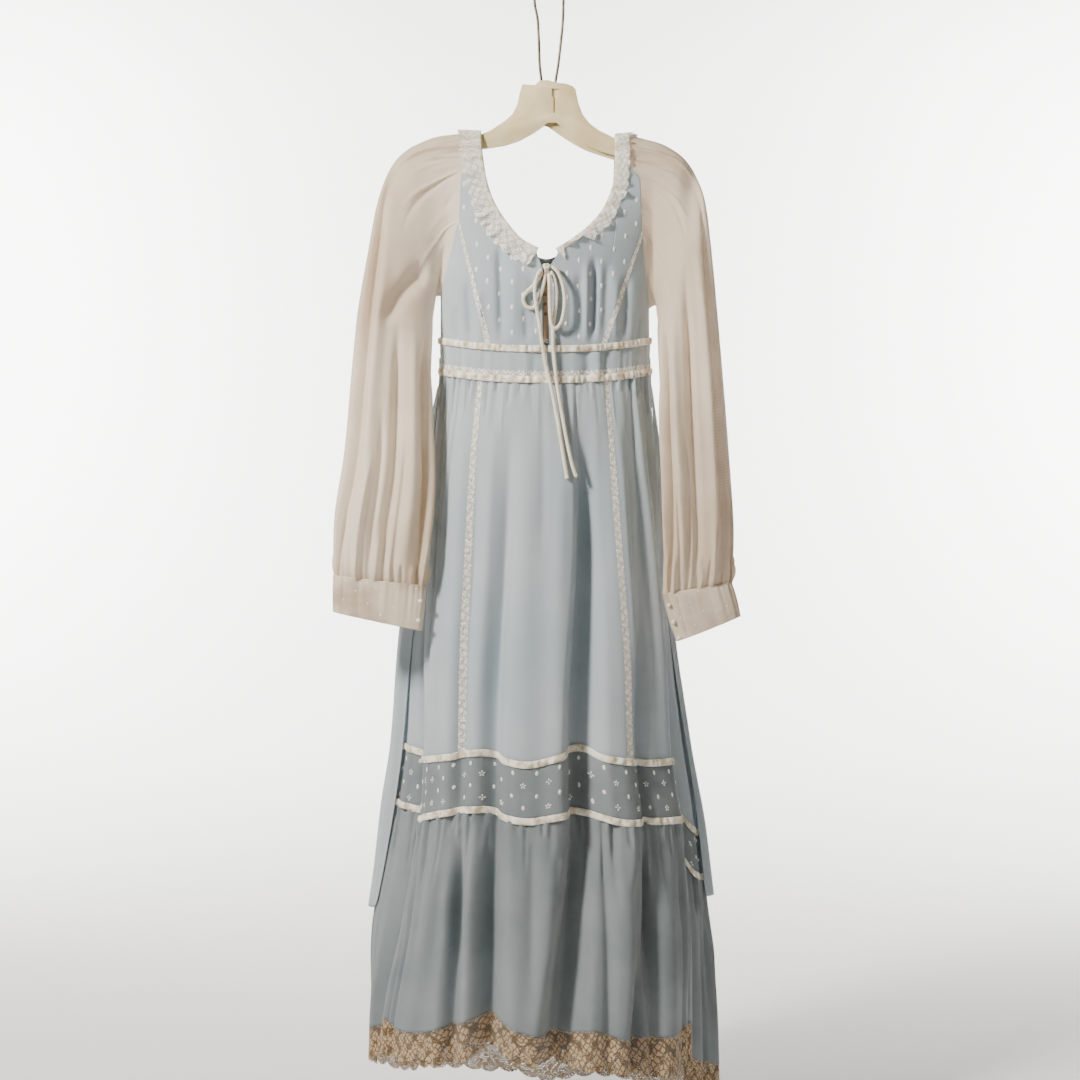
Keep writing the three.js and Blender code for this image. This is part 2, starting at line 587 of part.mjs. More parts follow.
// Stations of the neck edge all round: from the slit up the left, down the back, up the right.
function neckStations() {
  const up = (hand) => NECK_STEPS.map((t) => ({ hand, t, side: -1 }));
  const down = (hand) => NECK_STEPS.slice(0, -1).reverse().map((t) => ({ hand, t, side: 1 }));
  const left = [...up('left'), ...down('left')];
  const right = [...up('right'), ...down('right')].reverse();
  right.shift();
  left[left.length - 1] = { hand: 'middle', t: 0, side: 1 };
  return [...left, ...right];
}
// Cell of the cloth `out` away from the neck edge at a station, lifted off it.
function neckCell({ hand, t, side }, out, lift) {
  let x = -3;
  let z = -398 - out;
  if (hand !== 'middle') {
    [x, z] = neckSpot(hand, t, out, side);
  }
  const top = look(SHOULDER, 'x', 'z', x);
  const crest = t === 1 && hand !== 'middle';
  const at = t === 0.97 ? top - 2 : Math.min(z, top - 6);
  const p = crest ? new THREE.Vector3(x, 0, top) : upperPoint(x, at, side);
  const n = crest ? new THREE.Vector3(0, 0, 1) : upperNormal(x, at, side);
  return cell(p.addScaledVector(n, lift), n);
}

// Sleeves
// Armhole of one side, half of a ring from the shoulder over the front (side -1) or back to the underarm.
function armhole(hand, side) {
  const { bend, princessTop, princessLow, underarm } = RAGLAN[hand];
  const topX = NECK[hand].at(-1)[0] + outward(hand) * BINDING;
  const top = look(SHOULDER, 'x', 'z', topX);
  const edge = [0.97, 0.93, RAGLAN_SHARE].map((t) => neckAt(hand, t, BINDING));
  const points = [[topX, top], [edge[0][0], top - 2], [edge[1][0], Math.min(edge[1][1], top - 6)], edge[2],
    along([edge[2], bend], 0.33), along([edge[2], bend], 0.67), bend,
    along([bend, princessTop], 0.5), princessTop, princessLow,
    ...[0.2, 0.4, 0.6, 0.8, 1].map((t) => along([princessLow, underarm], t))];
  return points.map(([x, z], i) => {
    if (i === 0) return cell(new THREE.Vector3(x, 0, z), new THREE.Vector3(0, 0, 1));
    return cell(upperPoint(x, z, side), upperNormal(x, z, side));
  });
}

// One point of a sleeve ring at angle a (0 outer end, half a turn inner end).
function ringPoint(row, a, side, blunt) {
  const x = lerp(row.outX, row.inX, (1 - Math.cos(a)) / 2);
  const z = lerp(row.outZ, row.inZ, (1 - Math.cos(a)) / 2);
  return new THREE.Vector3(x, -row.forward + side * row.depth * Math.sin(a) ** blunt, z);
}
// The forward shift starts at the inner end of the upper rings, so that the outer end rests on the arm.
function sleeveRing(row, hole, blunt) {
  const half = SLEEVE_CELLS / 2;
  return Array.from({ length: SLEEVE_CELLS }, (_, c) => {
    const side = c <= half ? -1 : 1;
    const step = c <= half ? c : SLEEVE_CELLS - c;
    const a = Math.PI * step / half;
    const p = ringPoint(row, a, side, blunt);
    if (row.follow > 0) {
      const start = hole[0][0].p;
      const end = hole[0][half].p;
      const base = start.clone().lerp(end, (1 - Math.cos(a)) / 2);
      const own = hole[side < 0 ? 0 : 1][step].p;
      p.x += (own.x - base.x) * row.follow;
      p.z += (own.z - base.z) * row.follow;
      const shelf = smooth(0, 90, row.outZ - p.z);
      const near = 1 - smooth(132, 175, Math.abs(p.x));
      p.y += row.forward * (1 - shelf);
      p.y = lerp(p.y, side * upperDepth(p.x, p.z), near * (1 - smooth(-400, -455, p.z)));
    }
    return p;
  });
}
// Gathers: every other column stands out at the neck and above the cuff, long soft folds between.
function sleeveGather(c, r, rows) {
  const half = SLEEVE_CELLS / 2;
  const step = c <= half ? c : SLEEVE_CELLS - c;
  if (r === 0 || step === 0) return 0;
  const zig = step % 2 ? 1 : -0.6;
  const head = step < 8 ? 3.2 * Math.exp(-(((r - 2.2) / 2) ** 2)) * smooth(0, 2, r) : 0;
  const wrist = 3 * smooth(rows - 5, rows - 1, r);
  const soft = 4 * smooth(2, 6, r) * (1 - smooth(rows - 4, rows - 1, r)) * Math.sin(step * 1.35 + r * 0.12);
  return zig * (head + wrist) + soft;
}
function sleeveSheet(hand) {
  const table = SLEEVES[hand];
  const hole = [armhole(hand, -1), armhole(hand, 1)];
  const half = SLEEVE_CELLS / 2;
  const first = hole[0].slice(0, half + 1).concat(hole[1].slice(1, half).reverse());
  const rings = table.map((row, i) => sleeveRing(row, hole, i > table.length - 3 ? 0.5 : 0.65));
  const points = [first.map(({ p }) => p), ...rings];
  // The columns run from the shoulder over the front on both sides, which turns the left sleeve round.
  const flip = hand === 'left';
  const order = (row) => (flip ? [row[0], ...row.slice(1).reverse()] : row);
  const sheet = withNormals(points.map(order), true).map(order);
  first.forEach(({ n }, c) => { sheet[0][c].n = n; });
  const moved = sheet.map((row, r) => row.map(({ p, n }, c) => (
    cell(p.clone().addScaledVector(n, sleeveGather(c, r, sheet.length)), n))));
  return moved.map(order);
}
function cuffSheet(hand) {
  const half = SLEEVE_CELLS / 2;
  const points = CUFFS[hand].map((row) => Array.from({ length: SLEEVE_CELLS }, (_, c) => {
    const side = c <= half ? -1 : 1;
    return ringPoint(row, Math.PI * (c <= half ? c : SLEEVE_CELLS - c) / half, side, 0.5);
  }));
  const order = (row) => (hand === 'left' ? [row[0], ...row.slice(1).reverse()] : row);
  return withNormals(points.map(order), true);
}

// Back ties, cords and buttons
function sashSheet(hand) {
  const rows = SASHES[hand];
  const heights = rows.flatMap(({ z }, i) => (i > 2 ? [lerp(rows[i - 1].z, z, 0.5), z] : [z]));
  const points = heights.map((z) => [0, 1 / 3, 2 / 3, 1].map((s) => {
    const u = lerp(look(rows, 'z', 'near', z), look(rows, 'z', 'far', z), s);
    const [x, y] = plan(u, z);
    const n = planNormal(u, z);
    const off = look(rows, 'z', 'off', z) * (s === 1 / 3 || s === 2 / 3 ? 1.15 : 0.9);
    return new THREE.Vector3(x, y, z).addScaledVector(n, off);
  }));
  return withNormals(hand === 'left' ? points.map((row) => row.reverse()) : points);
}

// Front of the cloth at a place, for what hangs before it.
function frontFace(x, z) {
  if (z > -529) return -upperDepth(x, z);
  const u = 0.25 + Math.asin(clamp(x / BODY[0].frontLeft, -1, 1)) / (2 * Math.PI);
  if (z > -583) return plan(u, z)[1];
  const v = ROW.skirt + (-583 - z) / 530;
  return bodyCell(u, v).p.y;
}
function roundSection(diameter, sides) {
  const shape = new THREE.Shape();
  for (let i = 0; i < sides; i++) {
    const a = (2 * Math.PI * i) / sides;
    const at = [Math.cos(a) * diameter / 2, Math.sin(a) * diameter / 2];
    if (i) shape.lineTo(...at); else shape.moveTo(...at);
  }
  shape.closePath();
  return shape;
}
function tube(points, diameter, steps, sides = 8) {
  const path = new THREE.CatmullRomCurve3(points, false, 'centripetal');
  const section = roundSection(diameter, sides);
  return new THREE.ExtrudeGeometry(section, { steps, extrudePath: path, bevelEnabled: false });
}
function cordGeometry(name) {
  const points = CORDS[name].map(([x, z, off]) => new THREE.Vector3(x, frontFace(x, z) - off, z));
  const length = new THREE.CatmullRomCurve3(points).getLength();
  return tube(points, CORD, Math.round(length / (name.includes('loop') ? 2.2 * CORD : 3 * CORD)));
}
function ball(at, radius, flat = 1) {
  const geometry = new THREE.SphereGeometry(radius, 8, 5);
  return geometry.scale(1, flat, 0.85).translate(...at);
}
// Centres of a cuff's buttons: in front, two columns from the cuff's inner edge.
function cuffButtons(hand) {
  const sheet = cuffSheet(hand);
  const column = SLEEVE_CELLS / 2 + (hand === 'left' ? 2 : -2);
  const edge = sheet.map((row) => row[column]);
  return CUFF_BUTTONS[hand].map((share) => {
    const at = share * (edge.length - 1);
    const i = Math.min(Math.floor(at), edge.length - 2);
    const n = edge[i].n.clone().lerp(edge[i + 1].n, at - i).normalize();
    const off = CUFF / 2 + 1.5 * SEAM + BUTTON_RADIUS;
    return edge[i].p.clone().lerp(edge[i + 1].p, at - i).addScaledVector(n, off);
  });
}
// Narrow underlap behind the slit of the centre front.
function underlapSheet() {
  const middle = (SLIT_EDGE.left + SLIT_EDGE.right) / 2;
  return span(6).map((t) => [-1, 0, 1].map((side) => {
    const [x, z] = [middle + side * UNDERLAP.half, lerp(UNDERLAP.top, UNDERLAP.foot, t)];
    const n = upperNormal(x, z, -1);
    return cell(upperPoint(x, z, -1).addScaledVector(n, -UNDERLAP.behind), n);
  }));
}

// The hanger
// A closed geometry as a solid for cutting and joining, and back.
function solidOf(geometry) {
  const loose = geometry.index ? geometry.toNonIndexed() : geometry;
  const bare = new THREE.BufferGeometry().setAttribute('position', loose.getAttribute('position'));
  const merged = mergeVertices(bare, 1e-3);
  const vertProperties = merged.attributes.position.array;
  const triVerts = new Uint32Array(merged.index.array);
  return new wasm.Manifold(new wasm.Mesh({ numProp: 3, vertProperties, triVerts }));
}
function toGeometry(solid) {
  const mesh = solid.getMesh();
  const geometry = new THREE.BufferGeometry();
  geometry.setAttribute('position', new THREE.Float32BufferAttribute(mesh.vertProperties, 3));
  geometry.setIndex(Array.from(mesh.triVerts));
  return geometry;
}
// An outline (X, Z) drawn in by a margin, corner by corner.
function drawnIn(points, margin) {
  return points.map((p, i) => {
    const before = points.at(i - 1);
    const after = points[(i + 1) % points.length];
    const normal = ([ax, az], [bx, bz]) => new THREE.Vector2(bz - az, ax - bx).normalize();
    const [a, b] = [normal(before, p), normal(p, after)];
    const middle = a.clone().add(b).normalize();
    const reach = Math.min(margin / middle.dot(a), 1.6 * margin);
    return [p[0] + middle.x * reach, p[1] + middle.y * reach];
  });
}
// A plate with an outline, between two depths.
function plate(points, front, back) {
  const shape = new THREE.Shape(points.map(([x, z]) => new THREE.Vector2(x, z)));
  const geometry = new THREE.ExtrudeGeometry(shape, { depth: back - front, bevelEnabled: false });
  return solidOf(geometry.rotateX(Math.PI / 2).translate(0, back, 0));
}
function block({ at, size }, front, back) {
  const geometry = new THREE.BoxGeometry(size[0], back - front, size[1]);
  return solidOf(geometry.translate(at[0], (front + back) / 2, at[1]));
}
function hangerSolid() {
  const half = HANGER_THICK / 2;
  const web = HANGER_WEB / 2;
  const bore = (x) => solidOf(new THREE.CylinderGeometry(WIRE / 2 + 0.35, WIRE / 2 + 0.35, WIRE_SOCKET, 12)
    .rotateX(Math.PI / 2).translate(x, 0, -WIRE_FOOT - 3 + WIRE_SOCKET / 2));
  return plate(HANGER_BACK, web, half)
    .add(plate(HANGER_FRONT, -half, -web))
    .add(plate(drawnIn(HANGER_FRONT, HANGER_RIM), -web - 0.1, web + 0.1))
    .add(block(BOSS_BLOCK, -half, half))
    .subtract(bore(WIRE_LEGS[0]))
    .subtract(bore(WIRE_LEGS[1]))
    .subtract(block(BOSS_WINDOW, -half - 1, -half + BOSS_WINDOW.deep))
    .subtract(block(BOSS_SLIT, -half - 1, -half + BOSS_SLIT.deep));
}

// Materials and nodes
const finish = (color, roughness, more = {}) => ({ color, roughness, metalness: 0, ...more });
const FINISH = {
  blue: finish('#bfd0da', 0.85),
  sheer: finish('#efe6da', 0.8, { transparent: true, opacity: 0.85 }),
  dotted: finish('#c6d3dc', 0.85),
  cuff: finish('#d8cec6', 0.7),
  ribbon: finish('#f5efdf', 0.5),
  lace: finish('#e8e0cf', 0.9),
  hemLace: finish('#cdb79a', 0.9),
  cord: finish('#efe8da', 0.6),
  underlap: finish('#a08d78', 0.85),
  pearl: finish('#f4efe4', 0.3),
  plastic: finish('#e0d4b2', 0.45),
  wire: finish('#5c5446', 0.4, { metalness: 0.9 }),
};

const group = new THREE.Group();
group.name = 'prairie_dress_on_hanger';
function add(name, geometry, look) {
  const mesh = new THREE.Mesh(geometry, new THREE.MeshStandardMaterial(look));
  mesh.name = name;
  group.add(mesh);
}
const HALF_SEAM = SEAM / 2;

// bodice
for (const hand of ['left', 'right']) {
  const parts = frontPanels(hand);
  const turn = (sheet) => (hand === 'left' ? sheet : sheet.map((row) => [...row].reverse()));
  const sewn = (sheet) => inset(turn(sheet), HALF_SEAM, { top: 1.5 * SEAM });
  add(`bodice_center_front_${hand}`, wall(sewn(parts.centre), CLOTH), FINISH.dotted);
  add(`bodice_side_front_${hand}`, wall(sewn(parts.side), CLOTH), FINISH.blue);
  add(`princess_trim_${hand}`, wall(sewn(parts.trim), TRIM), FINISH.lace);
}
add('bodice_back', wall(inset(backSheet(), HALF_SEAM), CLOTH), FINISH.blue);

// neck binding and gathered neck lace
const stations = neckStations();
const bindingSheet = [1, 0].map((t) => stations.map((s) => neckCell(s, lerp(0.2, BINDING, t), 0)));
const binding = inset(bindingSheet, 1.2 * SEAM, { bottom: 0, start: 0, end: 0 });
add('neck_binding', wall(binding, TRIM), FINISH.ribbon);
const laceSheet = [1, 0.5, 0].map((t) => stations.map((s, i) => {
  const scallop = t === 1 ? (i % 2) * 4 : 0;
  const wide = s.side < 0 && s.hand === 'right' ? 21 : 30;
  return neckCell(s, lerp(4, wide, t) + scallop, 2.2 + 3.8 * t + (i % 2) * 1.6 * t);
}));
add('neck_lace', wall(withNormals(laceSheet.map((row) => row.map(({ p }) => p))), LACE), FINISH.lace);

// midriff and its trims
const round = allRound();
const strip = (columns, from, to, cells) => ring(columns, span(cells).map((t) => lerp(from, to, t)));
const belt = (from) => inset(strip(round, from, from + 1, 1), 1.5 * SEAM, { start: 0, end: 0 });
add('midriff_trim_upper', wall(belt(ROW.trimTop), TRIM, { closed: true }), FINISH.ribbon);
const panel = (columns, from, to, cells) => wall(inset(strip(columns, from, to, cells), HALF_SEAM), CLOTH);
add('midriff_front', panel(wholeFront(), ROW.midriff, ROW.lowTrim, 1), FINISH.blue);
add('midriff_back', panel(backColumns(), ROW.midriff, ROW.lowTrim, 1), FINISH.blue);
add('midriff_trim_lower', wall(belt(ROW.lowTrim), TRIM, { closed: true }), FINISH.ribbon);

// skirt
const part = (name, cells = 1) => frontColumns(cells, [FRONT_PART[name]]);
add('skirt_center_front', wall(inset(skirtSheet(part('centre')), HALF_SEAM), CLOTH), FINISH.blue);
add('skirt_side_front_left', wall(inset(skirtSheet(part('sideLeft')), HALF_SEAM), CLOTH), FINISH.blue);
add('skirt_side_front_right', wall(inset(skirtSheet(part('sideRight')), HALF_SEAM), CLOTH), FINISH.blue);
add('skirt_trim_left', wall(inset(skirtSheet(part('trimLeft')), HALF_SEAM), TRIM), FINISH.lace);
add('skirt_trim_right', wall(inset(skirtSheet(part('trimRight')), HALF_SEAM), TRIM), FINISH.lace);
add('skirt_back', wall(inset(skirtSheet(backColumns()), HALF_SEAM), CLOTH), FINISH.blue);

// insertion band and its trims
add('band_trim_upper', wall(belt(ROW.bandTrim), TRIM, { closed: true }), FINISH.ribbon);
add('insertion_band_front', panel(wholeFront(), ROW.band, ROW.bandFoot, 2), FINISH.dotted);
add('insertion_band_back', panel(backColumns(), ROW.band, ROW.bandFoot, 2), FINISH.dotted);
add('band_trim_lower', wall(belt(ROW.bandFoot), TRIM, { closed: true }), FINISH.ribbon);

// flounce and hem lace
const hung = (sheet) => inset(sheet, SEAM, { top: 2 * SEAM, bottom: HALF_SEAM });
add('flounce_front', wall(hung(flounceSheet(wholeFront(2))), CLOTH), FINISH.blue);
add('flounce_back', wall(hung(flounceSheet(backColumns(2))), CLOTH), FINISH.blue);
add('hem_lace_front', wall(hung(hemLaceSheet(wholeFront(2))), LACE), FINISH.hemLace);
add('hem_lace_back', wall(hung(hemLaceSheet(backColumns(2))), LACE), FINISH.hemLace);

// sleeves, cuffs with their buttons, and the back ties
for (const hand of ['left', 'right']) {
  const sleeve = inset(sleeveSheet(hand), SEAM, { top: 2 * SEAM, start: 0, end: 0 });
  add(`sleeve_${hand}`, wall(sleeve, SHEER, { closed: true }), FINISH.sheer);
  add(`cuff_${hand}`, wall(cuffSheet(hand), CUFF, { closed: true }), FINISH.cuff);
  cuffButtons(hand).forEach((at, i) => {
    add(`cuff_button_${hand}_${i + 1}`, ball(at.toArray(), BUTTON_RADIUS), FINISH.pearl);
  });
  add(`back_tie_${hand}`, wall(sashSheet(hand), CLOTH), FINISH.blue);
}

// the placket's underlap, and the drawstring with its bow
add('placket_underlap', wall(underlapSheet(), UNDERLAP.thick), FINISH.underlap);
for (const name of Object.keys(CORDS)) add(name, cordGeometry(name), FINISH.cord);
const knotAt = [KNOT.at[0], frontFace(...KNOT.at) - KNOT.off, KNOT.at[1]];
add('drawstring_knot', ball(knotAt, KNOT.radius, 0.8), FINISH.cord);

// hanger
add('hanger_body', toGeometry(hangerSolid()), FINISH.plastic);
add('hanger_wire_loop', tube(WIRE_PATH.map(([x, z]) => new THREE.Vector3(x, 0, z)), WIRE, 30), FINISH.wire);

export default group;
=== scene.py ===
# %% [markdown]
# # A prairie dress on its hanger
# The dress is a long, pale blue voile gown with sheer ivory sleeves, lace trims, a banded skirt and a
# gathered flounce. It hangs from a moulded hanger with a wire loop. Its pieces are made as a dressmaker
# cuts them: every panel, trim and sleeve is a sheet of its own, worked out on the shape in which it
# hangs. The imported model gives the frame, and every new piece stays in the place of the solid that it
# stands for.

import bmesh
import bpy
import numpy as np
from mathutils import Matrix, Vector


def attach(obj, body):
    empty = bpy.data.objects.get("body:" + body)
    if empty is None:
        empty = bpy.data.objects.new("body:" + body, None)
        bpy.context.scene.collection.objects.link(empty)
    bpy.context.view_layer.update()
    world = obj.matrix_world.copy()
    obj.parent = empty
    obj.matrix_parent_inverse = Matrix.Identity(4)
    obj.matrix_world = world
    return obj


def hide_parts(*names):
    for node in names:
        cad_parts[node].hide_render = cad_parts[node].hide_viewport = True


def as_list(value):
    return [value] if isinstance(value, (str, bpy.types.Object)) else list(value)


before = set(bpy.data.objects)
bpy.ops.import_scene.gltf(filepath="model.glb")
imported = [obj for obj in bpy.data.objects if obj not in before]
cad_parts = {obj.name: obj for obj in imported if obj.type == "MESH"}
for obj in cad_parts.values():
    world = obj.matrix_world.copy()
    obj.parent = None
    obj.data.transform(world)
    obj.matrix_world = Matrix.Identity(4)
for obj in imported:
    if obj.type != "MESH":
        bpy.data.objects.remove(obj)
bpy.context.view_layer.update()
MM = 0.001

# %% [markdown]
# ## Camera
# The photo was taken from straight in front, at the height of the skirt, so the lens looks level along
# +Y. Tilting the camera down would make the sides converge. A small vertical shift frames the dress
# instead, as a view camera does, and keeps its upright lines upright.

# %% Camera
DISTANCE = 3.0
FRAME_WIDTH = 1.5768  # metres that the picture covers at the hanger
SENSOR = 36.0
EYE = (-0.0131, -DISTANCE, -0.6)
PICTURE_MIDDLE = -0.8118  # height of the picture's middle


def make_camera():
    data = bpy.data.cameras.new("camera")
    data.sensor_width = SENSOR
    data.lens = SENSOR * DISTANCE / FRAME_WIDTH
    data.shift_y = (PICTURE_MIDDLE - EYE[2]) / FRAME_WIDTH
    camera = bpy.data.objects.new("camera", data)
    camera.location = EYE
    camera.rotation_euler = (np.pi / 2, 0, 0)
    bpy.context.collection.objects.link(camera)
    bpy.context.scene.camera = camera


make_camera()
print("lens", round(bpy.context.scene.camera.data.lens, 1))

# %% [markdown]
# ## Colours and nodes
# Colours are picked as sRGB hex values and turned to the linear values that the shaders use by one
# function. One more function adds any node with its settings, values and links, so that each material
# below reads as a short list of what it is made of.

# %% Colours and nodes


def rgb(text):
    """An sRGB hex colour as a linear colour with alpha."""
    parts = [int(text[i : i + 2], 16) / 255 for i in (1, 3, 5)]
    return (*[c / 12.92 if c <= 0.04045 else ((c + 0.055) / 1.055) ** 2.4 for c in parts], 1.0)


def put(material, kind, values=None, links=None, **settings):
    """Adds a node with settings, socket values and links from other sockets."""
    node = material.node_tree.nodes.new(kind)
    for name, value in settings.items():
        setattr(node, name, value)
    for socket, value in (values or {}).items():
        node.inputs[socket].default_value = value
    for socket, source in (links or {}).items():
        material.node_tree.links.new(source, node.inputs[socket])
    return node


def blank(name):
    material = bpy.data.materials.new(name)
    material.use_nodes = True
    material.node_tree.nodes.clear()
    return material


def output(material, surface):
    put(material, "ShaderNodeOutputMaterial", links={"Surface": surface})
    return material


def noise(m, scale, detail=2.0, rough=0.5):
    """Noise on Object coordinates, with scale lumps a metre."""
    place = put(m, "ShaderNodeTexCoord").outputs["Object"]
    return put(m, "ShaderNodeTexNoise", {"Scale": scale, "Detail": detail, "Roughness": rough},
               {"Vector": place}).outputs["Fac"]


def bump(m, height, strength, depth):
    return put(m, "ShaderNodeBump", {"Strength": strength, "Distance": depth}, {"Height": height}).outputs[0]


def cut_out(m, cover, surface):
    """The surface where cover is 1 and clear air where it is 0."""
    clear = put(m, "ShaderNodeBsdfTransparent").outputs[0]
    return put(m, "ShaderNodeMixShader", links={"Fac": cover, 1: clear, 2: surface}).outputs[0]


def cloudy(m, dark, light, scale=5.0, spread=(0.35, 0.65)):
    """Two colours clouded into each other by broad noise."""
    ramp = put(m, "ShaderNodeValToRGB", links={"Fac": noise(m, scale, 4.0, 0.55)})
    for stop, at, colour in zip(ramp.color_ramp.elements, spread, (dark, light)):
        stop.position = at
        stop.color = rgb(colour)
    return ramp.outputs["Color"]


print("white", rgb("#ffffff"))

# %% [markdown]
# ## Thread and cord
# Cords and embroidery are twisted cotton. A fine noise on Object coordinates roughens the surface like
# the fuzz of the yarn, and a little sheen softens its edges.

# %% Thread


def thread(name, dark, light, rough=0.6, scale=60.0, sheen=0.25):
    """Twisted or stitched cotton thread."""
    m = blank(name)
    colour = cloudy(m, dark, light, scale)
    fuzz = bump(m, noise(m, 1800.0), 0.3, 0.1 * MM)
    cotton = put(m, "ShaderNodeBsdfPrincipled", {"Roughness": rough, "Sheen Weight": sheen, "IOR": 1.5},
                 {"Base Color": colour, "Normal": fuzz})
    return output(m, cotton.outputs[0])


white_thread = thread("white embroidery cotton", "#e3e6e8", "#f7f8f7")
cord_cotton = thread("ivory cotton cord", "#e2d8c4", "#f4eee0", 0.7)
dark_thread = thread("dark brown cotton thread", "#3f342a", "#5a4b3d", 0.7)
print("threads", white_thread.name, "/", cord_cotton.name)

# %% [markdown]
# ## Making a mesh
# Everything soft here is worked out as rows of points in millimetres. One helper turns points and
# faces into an object at the origin, one applies a modifier, and one finishes a piece: smooth shading,
# its material, the body that it moves with and the solid that it stands for.

# %% Making a mesh
UV_NAME = "Cloth"


def mesh_of(name, points, faces, corners_uv=None):
    """An object from points in millimetres and faces of equal size, with a map if it has one."""
    mesh = bpy.data.meshes.new(name)
    mesh.vertices.add(len(points))
    mesh.vertices.foreach_set("co", (np.asarray(points, float) * MM).ravel())
    mesh.loops.add(faces.size)
    mesh.loops.foreach_set("vertex_index", faces.ravel().astype(np.int32))
    mesh.polygons.add(len(faces))
    mesh.polygons.foreach_set("loop_start", np.arange(0, faces.size, faces.shape[1], dtype=np.int32))
    if corners_uv is not None:
        uv = corners_uv.astype(np.float32).ravel()
        mesh.uv_layers.new(name=UV_NAME).data.foreach_set("uv", uv)
    mesh.update(calc_edges=True)
    mesh.validate()
    obj = bpy.data.objects.new(name, mesh)
    bpy.context.collection.objects.link(obj)
    return obj


def only(obj):
    """Leaves only this object selected and active, as the operators expect."""
    for other in bpy.context.selected_objects:
        other.select_set(False)
    obj.select_set(True)
    bpy.context.view_layer.objects.active = obj


def apply_modifier(obj, kind, **settings):
    only(obj)
    modifier = obj.modifiers.new(kind.lower(), kind)
    for name, value in settings.items():
        setattr(modifier, name, value)
    bpy.ops.object.modifier_apply(modifier=modifier.name)


def coat(obj, material):
    """Smooth shading and one material."""
    obj.data.polygons.foreach_set("use_smooth", np.ones(len(obj.data.polygons), bool))
    obj.data.materials.clear()
    obj.data.materials.append(material)


def finish_piece(obj, material, slot, node=None):
    coat(obj, material)
    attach(obj, "root")
    if node:
        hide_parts(node)
    return obj


def finish_primitive(name, material, slot, node=None):
    """Names the primitive that was just added, settles it at the origin and finishes it."""
    obj = bpy.context.object
    obj.name = name
    bpy.ops.object.transform_apply(location=True, rotation=True, scale=True)
    finish_piece(obj, material, slot, node)


def lerp(a, b, t):
    return a + (b - a) * t


def smooth(a, b, x):
    t = np.clip((x - a) / (b - a), 0, 1)
    return t * t * (3 - 2 * t)


def spline(values, at):
    """Values at fractional places of a list, on a smooth curve through it."""
    values = np.asarray(values, float)
    last = len(values) - 1
    at = np.clip(np.asarray(at, float), 0, last)
    i = np.clip(np.floor(at).astype(int), 0, last - 1)
    t = (at - i).reshape(at.shape + (1,) * (values.ndim - 1))
    a, b, c, d = (values[np.clip(i + k, 0, last)] for k in (-1, 0, 1, 2))
    return b + 0.5 * t * (c - a + t * (2 * a - 5 * b + 4 * c - d + t * (3 * (b - c) + d - a)))


def unit(v):
    return v / np.maximum(np.linalg.norm(v, axis=-1, keepdims=True), 1e-9)


def chain_run(points):
    """Length along a chain up to each of its points."""
    return np.concatenate([[0], np.cumsum(np.linalg.norm(np.diff(points, axis=0), axis=1))])


print("helpers ready; a quarter of the way from 0 to 8 is", lerp(0, 8, 0.25))

# %% [markdown]
# ## Drawstring
# A cotton cord of three plies runs through the neck binding and is tied in a small bow over the slit.
# Its two tails hang free down the front and its two loops lie on the cloth. A cord is limp, so each
# one follows a smooth route through listed points. The mesh is a tube whose section has three
# lobes and turns as it goes, which makes the plies. The knot is the same cord wound round itself.

# %% Drawstring
CORD = 5.4
PLY_LAY = 3.4  # one turn of the plies, in diameters


def tube(name, route, diameter, material, slot, sides=24, every=1.2, plies=0, tip=0.0, node=None):
    """A tube on a smooth route, closed at both ends; plies twist round it and tip thickens its end."""
    fine = spline(route, np.linspace(0, len(route) - 1, 60 * len(route)))
    run = chain_run(fine)
    at = np.linspace(0, run[-1], max(4, int(run[-1] / every)))
    path = np.stack([np.interp(at, run, fine[:, k]) for k in range(3)], -1)
    way = unit(np.gradient(path, axis=0))
    first = np.cross(way[0], (0.0, 1.0, 0.0) if abs(way[0][1]) < 0.9 else (1.0, 0.0, 0.0))
    across = [unit(first)]
    for forward in way[1:]:
        turned = across[-1] - forward * (across[-1] @ forward)
        across.append(unit(turned))
    across = np.array(across)
    upward = np.cross(way, across)
    angle = np.arange(sides) * 2 * np.pi / sides
    radius = np.full((len(path), sides), diameter / 2)
    if plies:
        lay = angle[None] - at[:, None] * 2 * np.pi / (PLY_LAY * diameter)
        radius *= 0.86 + 0.16 * np.abs(np.cos(plies * lay / 2)) ** 0.8
    radius *= 1 + tip * smooth(run[-1] - 7, run[-1] - 2, at)[:, None]
    left = np.minimum(at, run[-1] - at)[:, None]
    radius *= np.sqrt(np.clip(1 - (1 - np.clip(left / (diameter / 2), 0, 1)) ** 2, 0.05, 1))
    rings = path[:, None] + across[:, None] * (np.cos(angle) * radius)[..., None]
    rings = rings + upward[:, None] * (np.sin(angle) * radius)[..., None]
    r, c = np.meshgrid(np.arange(len(path) - 1), np.arange(sides), indexing="ij")
    a, b = (r * sides + c).ravel(), (r * sides + (c + 1) % sides).ravel()
    c0, k = len(path) * sides, np.arange(sides)
    k1, foot = (k + 1) % sides, (len(path) - 1) * sides
    faces = np.concatenate([
        np.stack([a, b, b + sides], -1), np.stack([a, b + sides, a + sides], -1),
        np.stack([k * 0 + c0, k1, k], -1), np.stack([k * 0 + c0 + 1, foot + k, foot + k1], -1)])
    points = np.concatenate([rings.reshape(-1, 3), path[:1], path[-1:]])
    obj = finish_piece(mesh_of(name, points, faces), material, slot, node)
    return obj, path * MM, float(run[-1]) * MM


